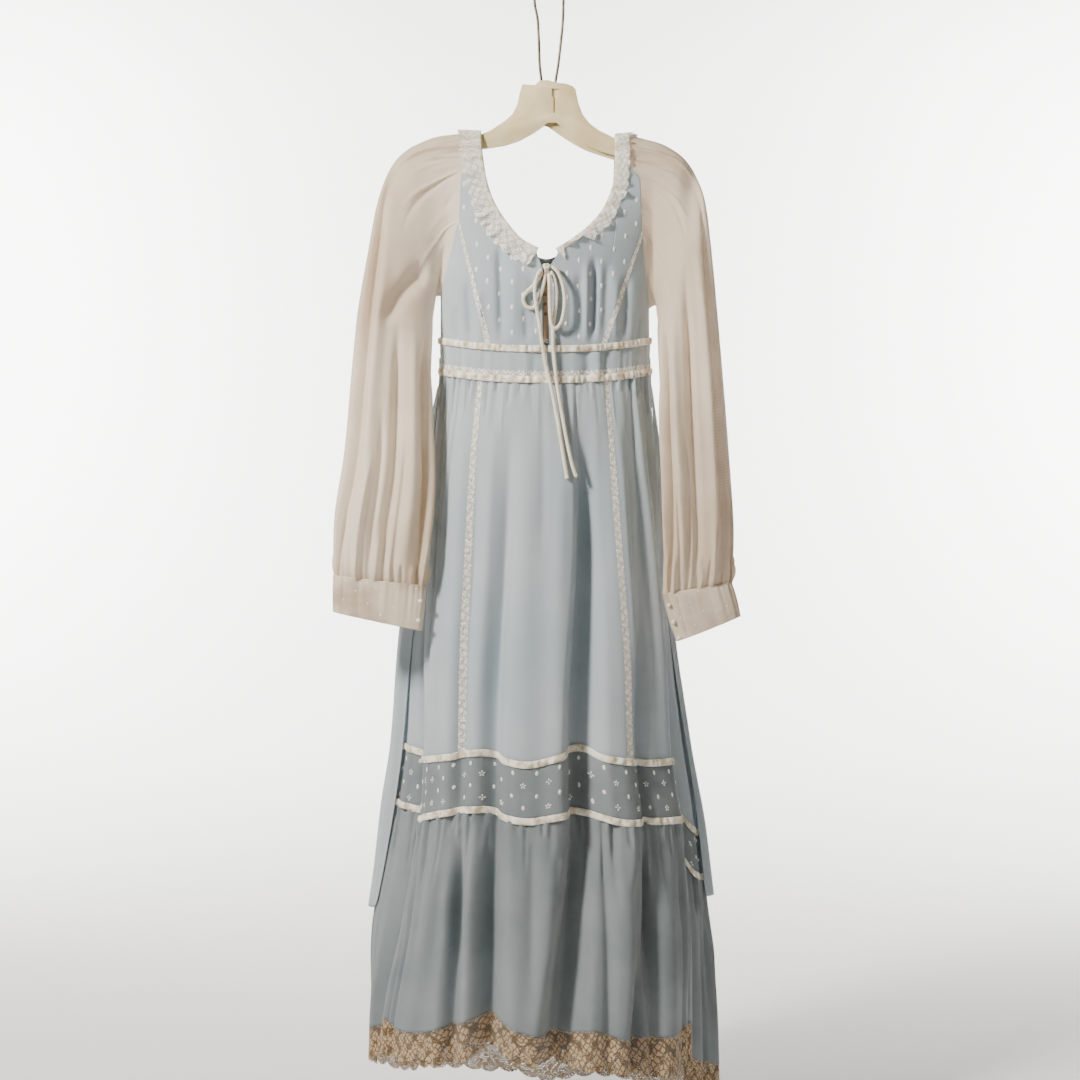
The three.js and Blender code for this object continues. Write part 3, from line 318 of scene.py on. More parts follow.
# routes in X, Y, Z, from the knot to the free end, or out and back
TAIL_LEFT = (
    (-10.9, -68.6, -419.8), (-17, -70.9, -431), (-20.5, -72.3, -450), (-18.5, -72.7, -472),
    (-14, -70.1, -498), (-10, -69.2, -526), (-5, -68.6, -556), (2, -70.6, -586), (12, -74.2, -636),
    (20, -78.1, -686), (26, -79.9, -720))
TAIL_RIGHT = (
    (2.5, -64.4, -423), (8, -65.8, -436), (10.5, -66.8, -455), (9, -67.3, -476), (5.5, -67.5, -500),
    (5.5, -69.2, -527), (8, -68.5, -556), (12, -70.8, -590), (18, -72.9, -625), (25, -75.5, -664),
    (33, -76.8, -700), (39, -76, -717))
LOOP_LEFT = (
    (-10, -63.8, -424), (-15.5, -65, -435), (-23, -65.5, -444), (-32, -65.4, -453), (-37, -65.2, -463),
    (-33, -65.8, -473), (-24, -66.5, -475.5), (-16, -66.6, -468), (-11, -66.2, -454),
    (-7.5, -65.6, -440), (-5.5, -64.3, -427))
LOOP_RIGHT = (
    (4, -67.5, -416), (13, -70.3, -426), (20, -72, -446), (22, -72.6, -470), (18, -73.1, -494),
    (10, -73.4, -505), (3, -73.6, -499), (1, -73.3, -472), (0.5, -72, -442), (-0.5, -68.5, -426))
KNOT_AT = np.array([-4.0, -67.2, -417.0])


def drawstring(name, route, far_end):
    tip = 0.14 if far_end == "bare" else 0.0
    obj, path, length = tube("cord_" + name, np.array(route), CORD, cord_cotton, "cord", plies=3, tip=tip,
                             node="drawstring_" + name)
    print(name, round(length / MM), "mm long")


drawstring("tail_left", TAIL_LEFT, "bare")
drawstring("tail_right", TAIL_RIGHT, "bare")
drawstring("loop_left", LOOP_LEFT, "object")
drawstring("loop_right", LOOP_RIGHT, "object")
turn = np.linspace(0, 2 * np.pi, 25)
wound = np.stack([np.sin(turn) + 2 * np.sin(2 * turn), -1.5 * np.sin(3 * turn),
                  np.cos(turn) - 2 * np.cos(2 * turn)], -1)
tube("cord_knot", KNOT_AT + wound * 1.25, 4.6, cord_cotton, "cord", plies=3, node="drawstring_knot")

# %% [markdown]
# ## Woven cloth
# Voile is a thin plain weave of hard-twisted cotton: matt, a little fuzzy at grazing angles, and it lets
# some light through. Its threads are a third of a millimetre apart, too fine for the picture, so the
# weave is drawn about three times as coarse. Two wave patterns, across and along the piece's own UV map
# in metres, cross into it. Broad noise on Object coordinates clouds the colour, as washed cotton does,
# and a Translucent shader carries light from behind. Bodice and skirt are lined. The insertion band and
# the flounce are one layer; their voile is a darker copy of the blue, painted shade of the dark inside
# seen through it and of their deep folds. The sleeves let the wall behind them show a little; their ivory
# is warmed towards tan, partly their own colour and partly painted shade of their brownish shaded folds.
# The taupe of the placket's underlap is partly its own and partly painted shade of the slit's dark inside.

# %% Woven cloth
WEAVE = 1.0 * MM  # drawn thread spacing; the real one is 0.35 mm


def weave_height(m, spacing=WEAVE):
    """Height of a plain weave on the piece's own map."""
    uv = put(m, "ShaderNodeUVMap", uv_map=UV_NAME)
    at = put(m, "ShaderNodeMapping", {"Scale": (1 / spacing, 1 / spacing, 1)}, {"Vector": uv.outputs[0]})
    bands = [
        put(m, "ShaderNodeTexWave", {"Scale": 0.16, "Distortion": 0.6, "Detail": 1.0},
            {"Vector": at.outputs[0]}, bands_direction=way)
        for way in "XY"
    ]
    return put(m, "ShaderNodeMath", links={0: bands[0].outputs["Fac"], 1: bands[1].outputs["Fac"]},
               operation="ADD").outputs[0]


def woven(name, dark, light, sheen=0.2, through=0.18, cover=None):
    """Cloth: cover is how much a sheer cloth hides, between its gaps and its threads."""
    m = blank(name)
    colour = cloudy(m, dark, light)
    height = weave_height(m)
    relief = bump(m, height, 0.25, 0.15 * MM)
    cloth = put(m, "ShaderNodeBsdfPrincipled", {"Roughness": 0.85, "Sheen Weight": sheen, "IOR": 1.5},
                {"Base Color": colour, "Normal": relief})
    lit = put(m, "ShaderNodeBsdfTranslucent", links={"Color": colour, "Normal": relief})
    mix = put(m, "ShaderNodeMixShader", {"Fac": through}, {1: cloth.outputs[0], 2: lit.outputs[0]})
    if cover is None:
        return output(m, mix.outputs[0])
    gaps, threads = cover
    share = put(m, "ShaderNodeMapRange",
                {"From Min": 0.2, "From Max": 1.6, "To Min": gaps, "To Max": threads}, {"Value": height})
    return output(m, cut_out(m, share.outputs[0], mix.outputs[0]))


blue_voile = woven("blue cotton voile", "#aebfc9", "#c1ccd5")
# a darker copy of the blue voile: painted shade of the dark inside seen through one layer and of deep folds
painted_shade_voile = woven("blue cotton voile darkened as painted shade", "#717c83", "#8c979d", through=0.1)
# the sleeves' ivory warmed towards tan: partly its own colour, partly painted shade of their brownish shaded
# folds
ivory_voile_painted_shade = woven("sheer ivory voile warmed as painted shade", "#d3c1a9", "#f0e4d2", sheen=0.15, through=0.22, cover=(0.8, 0.97))
# taupe partly a facing's own colour, partly painted shade of the dark inside seen through the slit
underlap_cotton_painted_shade = woven("taupe cotton partly painted shade", "#a8937a", "#c0ac94", through=0.05)
print("voile", blue_voile.name, "/", ivory_voile_painted_shade.name)

# %% [markdown]
# ## Satin and lace
# Satin ribbon is smooth and brighter along its folds: lower roughness and more sheen. Its colour is also
# clouded in small random patches of painted sheen. The cuffs' ivory satin is a darker, browner copy,
# partly painted shade. Lace is a net with worked motifs. Holes of two millimetres are below what a mesh
# should carry, so the net is an alpha pattern on the piece's own map: a Voronoi texture's distance to its
# cell edges draws the threads, and rows of round flowers, worked out from a second Voronoi texture, close
# over them. The flowers are lighter than the net, because their thread lies thicker. The ecru hem lace is
# darkened as a whole, its own ecru with painted shade of the dark inside of the dress seen through it.

# %% Satin and lace


def satin(name, dark, light, rough=0.42, sheen_patches=14.0):
    """Satin; its colour is clouded in random patches of painted sheen, as many a metre as the last argument
    gives.
    """
    m = blank(name)
    colour = cloudy(m, dark, light, sheen_patches, (0.38, 0.56))
    relief = bump(m, weave_height(m, 1.4 * MM), 0.12, 0.1 * MM)
    cloth = put(m, "ShaderNodeBsdfPrincipled",
                {"Roughness": rough, "Sheen Weight": 0.35, "Sheen Roughness": 0.3, "IOR": 1.5},
                {"Base Color": colour, "Normal": relief})
    return output(m, cloth.outputs[0])


def lace(name, ground, bloom, net, motif, width, flower):
    """A net of threads with round flowers on it; net and motif are their spacings, width and flower
    the halves of a thread and of a flower as shares of them."""
    m = blank(name)
    flat = put(m, "ShaderNodeUVMap", uv_map=UV_NAME)
    uv = put(m, "ShaderNodeMapping", {"Rotation": (0, 0, 0.6)}, {"Vector": flat.outputs[0]}).outputs[0]
    cells = put(m, "ShaderNodeTexVoronoi", {"Scale": 1 / net, "Randomness": 0.8}, {"Vector": uv},
                feature="DISTANCE_TO_EDGE", voronoi_dimensions="2D")
    threads = put(m, "ShaderNodeMapRange",
                  {"From Min": width, "From Max": width + 0.06, "To Min": 1.0, "To Max": 0.0},
                  {"Value": cells.outputs["Distance"]})
    blooms = put(m, "ShaderNodeTexVoronoi", {"Scale": 1 / motif, "Randomness": 0.25}, {"Vector": uv},
                 voronoi_dimensions="2D")
    petals = put(m, "ShaderNodeTexVoronoi", {"Scale": 2.6 / motif, "Randomness": 0.5}, {"Vector": uv},
                 feature="DISTANCE_TO_EDGE", voronoi_dimensions="2D")
    edge = put(m, "ShaderNodeMath", {1: 0.12}, {0: petals.outputs["Distance"]}, operation="GREATER_THAN")
    disc = put(m, "ShaderNodeMath", {1: flower}, {0: blooms.outputs["Distance"]}, operation="LESS_THAN")
    solid = put(m, "ShaderNodeMath", links={0: disc.outputs[0], 1: edge.outputs[0]}, operation="MULTIPLY")
    cover = put(m, "ShaderNodeMath", links={0: threads.outputs[0], 1: solid.outputs[0]},
                operation="MAXIMUM").outputs[0]
    colour = put(m, "ShaderNodeMix", {6: rgb(ground), 7: rgb(bloom)}, {0: solid.outputs[0]}, data_type="RGBA")
    cotton = put(m, "ShaderNodeBsdfPrincipled", {"Roughness": 0.9, "Sheen Weight": 0.15, "IOR": 1.5},
                 {"Base Color": colour.outputs[2], "Normal": bump(m, cover, 0.5, 0.4 * MM)})
    return output(m, cut_out(m, cover, cotton.outputs[0]))


# its colour clouded in small random patches of painted sheen
ribbon_satin = satin("ivory satin ribbon", "#cdc0a6", "#fdf9ee", sheen_patches=95.0)
# a darker, browner copy of the ivory satin: its own ivory with painted shade
cuff_satin_painted_shade = satin("ivory satin", "#b8a791", "#dccebc", 0.5)
cream_lace = lace("cream cotton lace", "#f1ece1", "#ffffff", 2.6 * MM, 9 * MM, 0.16, 0.4)
# its own ecru darkened as a whole: painted shade of the dark inside of the dress seen through the lace
ecru_lace_painted_shade = lace("ecru cotton lace darkened as painted shade", "#6a563b", "#b9a183", 2.4 * MM, 19 * MM, 0.22, 0.46)
print("trims", ribbon_satin.name, "/", cream_lace.name)

# %% [markdown]
# ## Pearl, plastic and wire
# The buttons are glass pearls: a milky body under a clear coat. The hanger is injection-moulded
# polystyrene, satin with a faint orange peel and a softly clouded cream, and its wire is steel with a
# dark drawn finish, a metal, which keeps the default IOR.

# %% Pearl, plastic and wire


def pearl():
    m = blank("glass pearl")
    colour = cloudy(m, "#e9e2d6", "#f9f5ee", 300.0)
    body = put(m, "ShaderNodeBsdfPrincipled",
               {"Roughness": 0.28, "Coat Weight": 0.6, "Coat Roughness": 0.08, "IOR": 1.53,
                "Subsurface Weight": 0.15, "Subsurface Scale": 1.0 * MM}, {"Base Color": colour})
    return output(m, body.outputs[0])


def moulded():
    m = blank("cream polystyrene")
    colour = cloudy(m, "#d9c896", "#eadcb4", 22.0)
    peel = noise(m, 420.0)
    rough = put(m, "ShaderNodeMapRange", {"To Min": 0.36, "To Max": 0.5}, {"Value": peel})
    body = put(m, "ShaderNodeBsdfPrincipled", {"IOR": 1.59},
               {"Base Color": colour, "Roughness": rough.outputs[0], "Normal": bump(m, peel, 0.12, 0.1 * MM)})
    return output(m, body.outputs[0])


def wire_steel():
    m = blank("dark drawn steel")
    colour = cloudy(m, "#4a4336", "#6b6252", 90.0)
    place = put(m, "ShaderNodeTexCoord").outputs["Object"]
    long = put(m, "ShaderNodeMapping", {"Scale": (1500.0, 1500.0, 30.0)}, {"Vector": place}).outputs[0]
    marks = put(m, "ShaderNodeTexNoise", {"Scale": 1.0, "Detail": 3.0}, {"Vector": long}).outputs["Fac"]
    rough = put(m, "ShaderNodeMapRange", {"To Min": 0.3, "To Max": 0.5}, {"Value": marks})
    body = put(m, "ShaderNodeBsdfPrincipled", {"Metallic": 1.0},
               {"Base Color": colour, "Roughness": rough.outputs[0],
                "Normal": bump(m, marks, 0.15, 0.05 * MM)})
    return output(m, body.outputs[0])


glass_pearl, cream_plastic, dark_steel = pearl(), moulded(), wire_steel()
print("hard parts", glass_pearl.name, cream_plastic.name, dark_steel.name)

# %% [markdown]
# ## Tables and small maths
# A hanging dress is measured, not drawn freehand. Half widths and depths of the body are listed by
# height, seams by their share of the way round, and each sleeve by its rings. A smooth curve runs
# through the rows of such a table. All lengths are in millimetres until a mesh is made. Noise for the
# folds is a sum of sine waves with seeded phases, so it closes on itself round the dress and is the
# same on every run.

# %% Tables and small maths


def table(names, *rows):
    return {key: np.array([row[i] for row in rows], float) for i, key in enumerate(names.split())}


def look(rows, key, column, at):
    """A column of a table at a key, smoothly between rows and held beyond the ends."""
    k, v, x = rows[key], rows[column], np.asarray(at, float)
    if k[0] > k[-1]:
        k, x = -k, -x
    x = np.clip(x, k[0], k[-1])
    i = np.clip(np.searchsorted(k, x) - 1, 0, len(k) - 2)
    far = np.minimum(np.arange(len(k)) + 1, len(k) - 1)
    near = np.maximum(np.arange(len(k)) - 1, 0)
    tangent = (v[far] - v[near]) / (k[far] - k[near])
    h = k[i + 1] - k[i]
    t = (x - k[i]) / h
    return (
        (2 * t**3 - 3 * t**2 + 1) * v[i] + (t**3 - 2 * t**2 + t) * h * tangent[i]
        + (3 * t**2 - 2 * t**3) * v[i + 1] + (t**3 - t**2) * h * tangent[i + 1]
    )


def wobble(u, seed, low, high):
    """Seeded noise of the way round the dress, with low to high waves on it, about -1 to 1."""
    rng = np.random.default_rng(seed)
    waves = np.arange(low, high + 1)
    phases = rng.uniform(0, 2 * np.pi, len(waves))
    total = sum(np.sin(2 * np.pi * n * u + phase) for n, phase in zip(waves, phases))
    return total / np.sqrt(len(waves))


def creases(rows, across, along, period=None):
    """Sum of troughs (minus) and ridges (plus), each from one end to the other, with a bow."""
    total = np.zeros(np.broadcast(across, along).shape)
    for a0, b0, a1, b1, bow, width, depth in rows:
        t = (along - b0) / (b1 - b0)
        off = across - lerp(a0, a1, t) - bow * 4 * t * (1 - t)
        if period:
            off = (off + period / 2) % period - period / 2
        ends = smooth(0, 0.25, t) * (1 - smooth(0.7, 1, t))
        total = total + depth * np.exp(-((off / width) ** 2)) * ends
    return total


def gathers(seed, count, seam, reach, width, depth, lean=0.3):
    """Rows for creases: small folds that start at a seam, uneven in place, length, width and depth."""
    rng = np.random.default_rng(seed)
    start = (np.arange(count) + rng.uniform(-0.36, 0.36, count)) / count
    end = start + rng.normal(0, lean, count) / count
    length = reach[0] + (reach[1] - reach[0]) * rng.uniform(0, 1, count) ** 2
    wide = width * rng.uniform(0.7, 1.5, count)
    deep = depth * rng.uniform(0.45, 1.4, count) * np.where(np.arange(count) % 2, 0.8, -1.0)
    return np.stack([start, seam - 0.36 * length, end, seam + length, 0 * wide, wide, deep], -1)


print("noise at 0 and 1", round(float(wobble(0.0, 1, 3, 9)), 3), round(float(wobble(1.0, 1, 3, 9)), 3))

# %% [markdown]
# ## The body's form
# Below the bust the dress is a tube. Its front lobe hangs nearly flat over the hanger and a wider back
# lobe shows on both sides, which is why the two are cut as separate halves. Above the bust, depth
# depends on how far a place lies below the shoulder line. These functions give any point of the body,
# and each panel samples them at its own fineness.

# %% The body's form
BODY = table(
    "z frontLeft frontRight backLeft backRight frontDepth backDepth turn",
    (-585, 158, 146, 158, 146, 62, 62, 0), (-700, 165, 152, 177, 158, 74, 62, 6),
    (-870, 172, 163, 198, 172, 88, 56, 12), (-975, 178, 171, 209, 181, 97, 54, 14),
    (-1120, 182, 177, 220, 205, 105, 54, 15), (-1210, 187, 191, 234, 218, 110, 55, 15),
    (-1300, 202, 200, 248, 228, 115, 56, 15), (-1390, 216, 206, 264, 237, 120, 57, 15),
    (-1500, 238, 206, 267, 246, 125, 58, 15), (-1650, 256, 206, 267, 250, 130, 60, 15),
)
# middle of the two trims of the band, top of the hem lace and hem, by share of the way round
LEVELS = table(
    "u upper lower lace hem",
    (0, -1128, -1212, -1530, -1568), (0.036, -1132, -1219, -1512, -1550),
    (0.128, -1117, -1196, -1509, -1549), (0.17, -1108, -1188, -1491, -1540),
    (0.197, -1116, -1195, -1478, -1518), (0.23, -1121, -1200, -1496, -1530),
    (0.264, -1110, -1193, -1505, -1544), (0.293, -1104, -1195, -1496, -1545),
    (0.311, -1114, -1200, -1505, -1550), (0.333, -1119, -1206, -1513, -1556),
    (0.37, -1126, -1209, -1517, -1566), (0.464, -1141, -1224, -1518, -1565),
    (0.5, -1204, -1275, -1570, -1609), (0.522, -1238, -1307, -1588, -1630),
    (0.571, -1249, -1316, -1598, -1640), (0.75, -1190, -1270, -1585, -1625),
    (0.93, -1123, -1206, -1550, -1590), (1, -1128, -1212, -1530, -1568),
)
# long folds: trough at waist, band and hem, its width to either side, depth at knee, band and hem
FOLDS = (
    (0.197, 0.185, 0.199, 0.015, 0.012, 10, 22, 28), (0.294, 0.276, 0.25, 0.006, 0.03, 32, 42, 46),
    (0.39, 0.366, 0.341, 0.01, 0.014, 5, 15, 26), (0.146, 0.142, 0.166, 0.008, 0.01, 3, 10, 13),
    (0.62, 0.625, 0.63, 0.012, 0.028, 10, 18, 28), (0.74, 0.75, 0.755, 0.028, 0.012, 10, 18, 30),
    (0.87, 0.87, 0.865, 0.014, 0.024, 9, 16, 26),
)
# seams down the body: waist trims, skirt top, band trims, flounce top, lace top and hem
TOP_TRIM, MIDRIFF, LOW_TRIM, SKIRT, BAND_TRIM, BAND, BAND_FOOT, FLOUNCE, LACE, HEM = range(10)
WAIST = -529  # height of the bodice's foot in the middle; it rises to the sides
WAIST_RISE = 13
ASIDE = 0.004  # how far round the neighbours lie that give a direction


def plan(u, z):
    """X and Y of the smooth body at share u of the way round and height z."""
    get = {name: look(BODY, "z", name, z) for name in BODY if name != "z"}
    turn, depth, back = np.radians(get["turn"]), get["frontDepth"], get["backDepth"]
    a = (u / 0.25 - 1) * (np.pi / 2 + turn)
    front_x = np.sin(a) * np.where(a < 0, get["frontLeft"], get["frontRight"])
    w = (u - 0.75) / 0.25
    reach = {}
    for hand in ("Left", "Right"):
        narrow = get["front" + hand] * np.cos(turn) / get["back" + hand]
        reach[hand] = np.pi - np.arcsin(np.minimum(1, narrow))
    sides = {hand: depth * np.sin(turn) - back * np.cos(reach[hand]) for hand in reach}
    middle = lerp(sides["Right"], sides["Left"], smooth(-1, 1, w))
    b = np.abs(w) * np.where(w < 0, reach["Right"], reach["Left"])
    back_x = np.sin(b) * np.where(w < 0, get["backRight"], -get["backLeft"])
    front = u <= 0.5
    return np.where(front, front_x, back_x), np.where(front, -depth * np.cos(a), middle + back * np.cos(b))


def waist_height(side):
    """Height of the bodice's foot, where side is 0 in the middle and 1 or -1 at the sides."""
    return WAIST + WAIST_RISE * np.abs(side) ** 2.5


def seam_heights(u):
    side = np.cos(2 * np.pi * u)
    foot, rise = waist_height(side), np.abs(side) ** 2.5
    upper, lower, lace_top, hem = (look(LEVELS, "u", name, u) for name in ("upper", "lower", "lace", "hem"))
    return np.stack([foot, foot - 10, -573 + 12 * rise, -583 + 12 * rise,
                     upper + 5, upper - 5, lower + 5, lower - 5, lace_top, hem])


def height_at(u, v):
    z = seam_heights(u)
    i = np.clip(np.floor(v).astype(int), 0, 8)
    low, high = np.take_along_axis(z, i[None], 0)[0], np.take_along_axis(z, i[None] + 1, 0)[0]
    return lerp(low, high, v - i)


def fall(v):
    """How far down the flounce and its lace a seam row lies, from 0 to 1."""
    return np.interp(v, (FLOUNCE, LACE, HEM), (0, 0.88, 1))


def fold_depth(u, v):
    """Depth of the long folds: none at the waist, deepest at the hem."""
    knee, band = smooth(SKIRT, SKIRT + 0.5, v), smooth(SKIRT + 0.3, BAND_TRIM, v)
    last = smooth(0, 1, fall(v))
    total = 0
    for waist, at_band, at_hem, left, right, at_knee, deep, deepest in FOLDS:
        off = u - lerp(lerp(waist, at_band, band), at_hem, last)
        depth = lerp(lerp(at_knee * knee, deep, band), deepest, last)
        total = total + depth * np.exp(-((off / np.where(off < 0, left, right)) ** 2))
    return total


def facing(u, z):
    """Points of the smooth body and their outward directions."""
    (x, y), (ax, ay), (bx, by) = plan(u, z), plan((u - ASIDE) % 1, z), plan((u + ASIDE) % 1, z)
    return np.stack([x, y, z], -1), unit(np.stack([by - ay, ax - bx, 0 * z], -1))


def body_grid(columns, rows, extra=None):
    """Points of the body at shares round (columns) and seam rows (rows), moved out by extra folds."""
    u, v = np.meshgrid(columns, rows)
    points, n = facing(u, height_at(u, v))
    out = -fold_depth(u, v) + (0 if extra is None else extra(u, v))
    return points + n * out[..., None]


rounds = [chain_run(row)[-1].round() for row in body_grid(np.linspace(0, 0.995, 200), [SKIRT, HEM])]
print("waist round", rounds[0], "mm; hem round", rounds[1], "mm")

# %% [markdown]
# ## The upper body
# The neckline, raglan seams and placket are given as chains of points seen from the front. Any place
# (X, Z) then has a front and a back, whose depth comes from the distance below the shoulder line.

# %% The upper body
SHOULDER = table(
    "x z", (-241, -300), (-229, -267), (-211, -246), (-187, -231), (-163, -225), (-136, -221),
    (-104, -216.5), (0, -210), (99, -220.5), (134, -227), (171, -236), (194, -252), (217, -285),
)
SHOULDER_DEPTH = table(
    "below depth", (0, 0), (2, 7.6), (12, 11.5), (41, 20), (84, 32), (134, 45), (184, 55), (239, 62),
    (400, 62),
)
NECK = {
    "left": [(-15, -389), (-37, -378), (-63, -349), (-81, -319), (-90, -289), (-96, -259), (-98.5, -229),
             (-99, -219.5)],
    "right": [(9, -390), (29, -378), (67, -348), (84, -319), (94, -289), (95.5, -259), (96, -234),
              (96.5, -225)],
}
BACK_DROP = 6  # the back neckline sits this much lower
BACK_NECK = (-3.0, -398.0)  # lowest point of the neck edge behind
RAGLAN = {
    "left": {"bend": (-127, -281), "top": (-130, -343), "low": (-132, -352), "arm": (-158, -456)},
    "right": {"bend": (131, -287), "top": (134, -362), "low": (135, -371), "arm": (146, -474)},
}
PRINCESS_FOOT = {"left": (-91, -83), "right": (83, 75)}
SLIT = {"left": -9.5, "right": -0.5}
BINDING = 7
RAGLAN_SHARE = 0.86
SIGN = {"left": -1, "right": 1}

# folds of the bodice front, in X and Z: top, foot, bow, half width, depth
BODICE_CREASES = (
    (65, -395, 61, -534, 1, 6, -9.5), (44, -420, 44, -530, -1, 7, -5), (84, -400, 78, -532, 0, 7, -4.5),
    (54, -400, 53, -528, 0, 5, 3.5), (26, -430, 30, -528, 2, 7, -3), (-26, -420, -22, -520, 2, 7, -3.4),
    (-47, -395, -50, -528, -2, 9, 2.6), (-72, -375, -68, -534, 1, 6.5, -6), (-34, -470, -31, -528, 0, 5, -3),
    (-118, -430, -112, -530, 1, 7, -4.5), (-100, -440, -99, -529, 0, 5, 2.2),
    (112, -420, 107, -532, -1, 7, -6), (98, -430, 95, -530, 0, 5, 2.2),
    (-136, -470, -130, -528, 0, 6, -3), (130, -480, 126, -529, 0, 5, -3),
)
# and of the back, where gathers run up from the waist and down from the neck
BACK_CREASES = (
    (-70, -430, -62, -530, 2, 9, -3.5), (-30, -425, -34, -528, -1, 8, -2.5), (8, -430, 4, -530, 1, 10, -4),
    (40, -428, 44, -529, 0, 7, -2.4), (78, -410, 70, -530, -2, 9, -3.6), (-104, -420, -96, -528, 1, 8, -2.4),
    (108, -430, 102, -529, 0, 8, -2.6), (-50, -440, -48, -529, 0, 5, 1.6), (24, -440, 24, -529, 0, 5, 1.4),
)


def upper_depth(x, z):
    below = np.maximum(0, look(SHOULDER, "x", "z", x) - z)
    half = np.where(x < 0, BODY["frontLeft"][0], BODY["frontRight"][0])
    across = np.sqrt(np.maximum(0, 1 - (x / half) ** 2))
    return look(SHOULDER_DEPTH, "below", "depth", below) * lerp(1, across, smooth(-262, -410, z))


def upper_grid(x, z, side, folded=True):
    """Points and directions of the upper body seen at X, Z, in front (side -1) or behind (side 1)."""
    z = np.minimum(z, look(SHOULDER, "x", "z", x))
    near = 2.0
    dx = (upper_depth(x + near, z) - upper_depth(x - near, z)) / (2 * near)
    dz = (upper_depth(x, z + near) - upper_depth(x, z - near)) / (2 * near)
    steep = np.clip(np.stack([dx, dz]), -3, 3)
    n = unit(np.stack([-steep[0], side * np.ones_like(x), -steep[1]], -1))
    moved = creases(BODICE_CREASES if side < 0 else BACK_CREASES, x, z) if folded else 0
    return np.stack([x, side * (upper_depth(x, z) + moved), z], -1), n


def along(points, t):
    """Points at shares t of the length of a chain."""
    run = chain_run(points)
    at = np.clip(t, 0, 1) * run[-1]
    return np.stack([np.interp(at, run, points[:, k]) for k in range(points.shape[1])], -1)


def neck_at(hand, t, out):
    """Points (X, Z) up the neck edge at shares t, moved out from the opening."""
    points, sign = np.array(NECK[hand], float), SIGN[hand]
    ends = points[np.minimum(np.arange(8) + 1, 7)] - points[np.maximum(np.arange(8) - 1, 0)]
    length = np.linalg.norm(ends, axis=1)
    way = np.stack([sign * ends[:, 1] / length, -np.abs(ends[:, 0]) / length], -1)
    way[-1] = (sign, 0)
    return along(points, t) + spline(way, np.asarray(t) * 7) * np.asarray(out)[..., None]


print("depth of the bust", float(upper_depth(np.array(0.0), np.array(-450.0))), "mm")

# %% [markdown]
# ## From a grid of points to a piece of cloth
# A woven piece is flat when it is cut, so its own map is that flat cut: metres along both edges. Edges
# that run under a trim are tucked a little way beneath it first.

# %% From a grid of points to a piece of cloth


def grid_normals(points, closed=False):
    """Outward directions of a grid whose rows run down and whose columns run to the viewer's right."""
    down = np.gradient(points, axis=0)
    if closed:
        across = np.roll(points, -1, axis=1) - np.roll(points, 1, axis=1)
    else:
        across = np.gradient(points, axis=1)
    return unit(np.cross(down, across))


def tuck(points, top=0, bottom=0, start=0, end=0, sink=0.7):
    """Adds outer columns or rows that run on under a neighbouring trim and sink below it."""
    normals = grid_normals(points)
    for axis, last, reach in ((1, False, start), (1, True, end), (0, False, top), (0, True, bottom)):
        if not reach:
            continue
        outer, inner = points.take(-last, axis), points.take(-2 if last else 1, axis)
        normal = normals.take(-last, axis)
        edge = np.expand_dims(outer + unit(outer - inner) * reach - normal * sink, axis)
        order = -1 if last else 1
        points = np.concatenate([edge, points][::order], axis)
        normals = np.concatenate([np.expand_dims(normal, axis), normals][::order], axis)
    return points


def flat_size(points, closed=False):
    """Width and length in millimetres of the cloth in a grid, laid flat."""
    ring = np.concatenate([points, points[:, :1]], 1) if closed else points
    width = np.linalg.norm(np.diff(ring, axis=1), axis=2).sum(1)
    length = np.linalg.norm(np.diff(points, axis=0), axis=2).sum(0)
    return width, length


def flat_area(points, closed=False):
    """Area of the cloth in a grid, in square millimetres."""
    ring = np.concatenate([points, points[:, :1]], 1) if closed else points
    one, other = ring[1:, 1:] - ring[:-1, :-1], ring[1:, :-1] - ring[:-1, 1:]
    return float(np.linalg.norm(np.cross(one, other), axis=2).sum() / 2)


def grid_mesh(name, points, closed=False):
    rows, cols = points.shape[:2]
    wide = cols if closed else cols - 1
    r, c = np.meshgrid(np.arange(rows - 1), np.arange(wide), indexing="ij")
    ring = [(r, c), (r + 1, c), (r + 1, c + 1), (r, c + 1)]
    faces = np.stack([a * cols + b % cols for a, b in ring], -1).reshape(-1, 4)
    width, length = flat_size(points, closed)
    scale = np.array([width.mean() / wide, length.mean() / (rows - 1)]) * MM
    uv = np.stack([np.stack([b * scale[0], -a * scale[1]], -1) for a, b in ring], -2).reshape(-1, 2)
    return mesh_of(name, points.reshape(-1, 3), faces, uv)


def cloth(name, points, material, slot, thick=0.9, closed=False, held="hung", extras=(), rests="neck_binding",
          cut=None):
    """One cut piece of cloth named for its solid; thick 0 leaves it a single layer. The cut, the
    rectangle in metres that an arched piece is cut from, is not used."""
    obj = grid_mesh("cloth_" + name, points, closed)
    if thick:
        apply_modifier(obj, "SOLIDIFY", thickness=thick * MM, offset=0.0)
    finish_piece(obj, material, slot, name)
    width, length = flat_size(points, closed)
    area = flat_area(points, closed) * MM * MM
    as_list(extras)
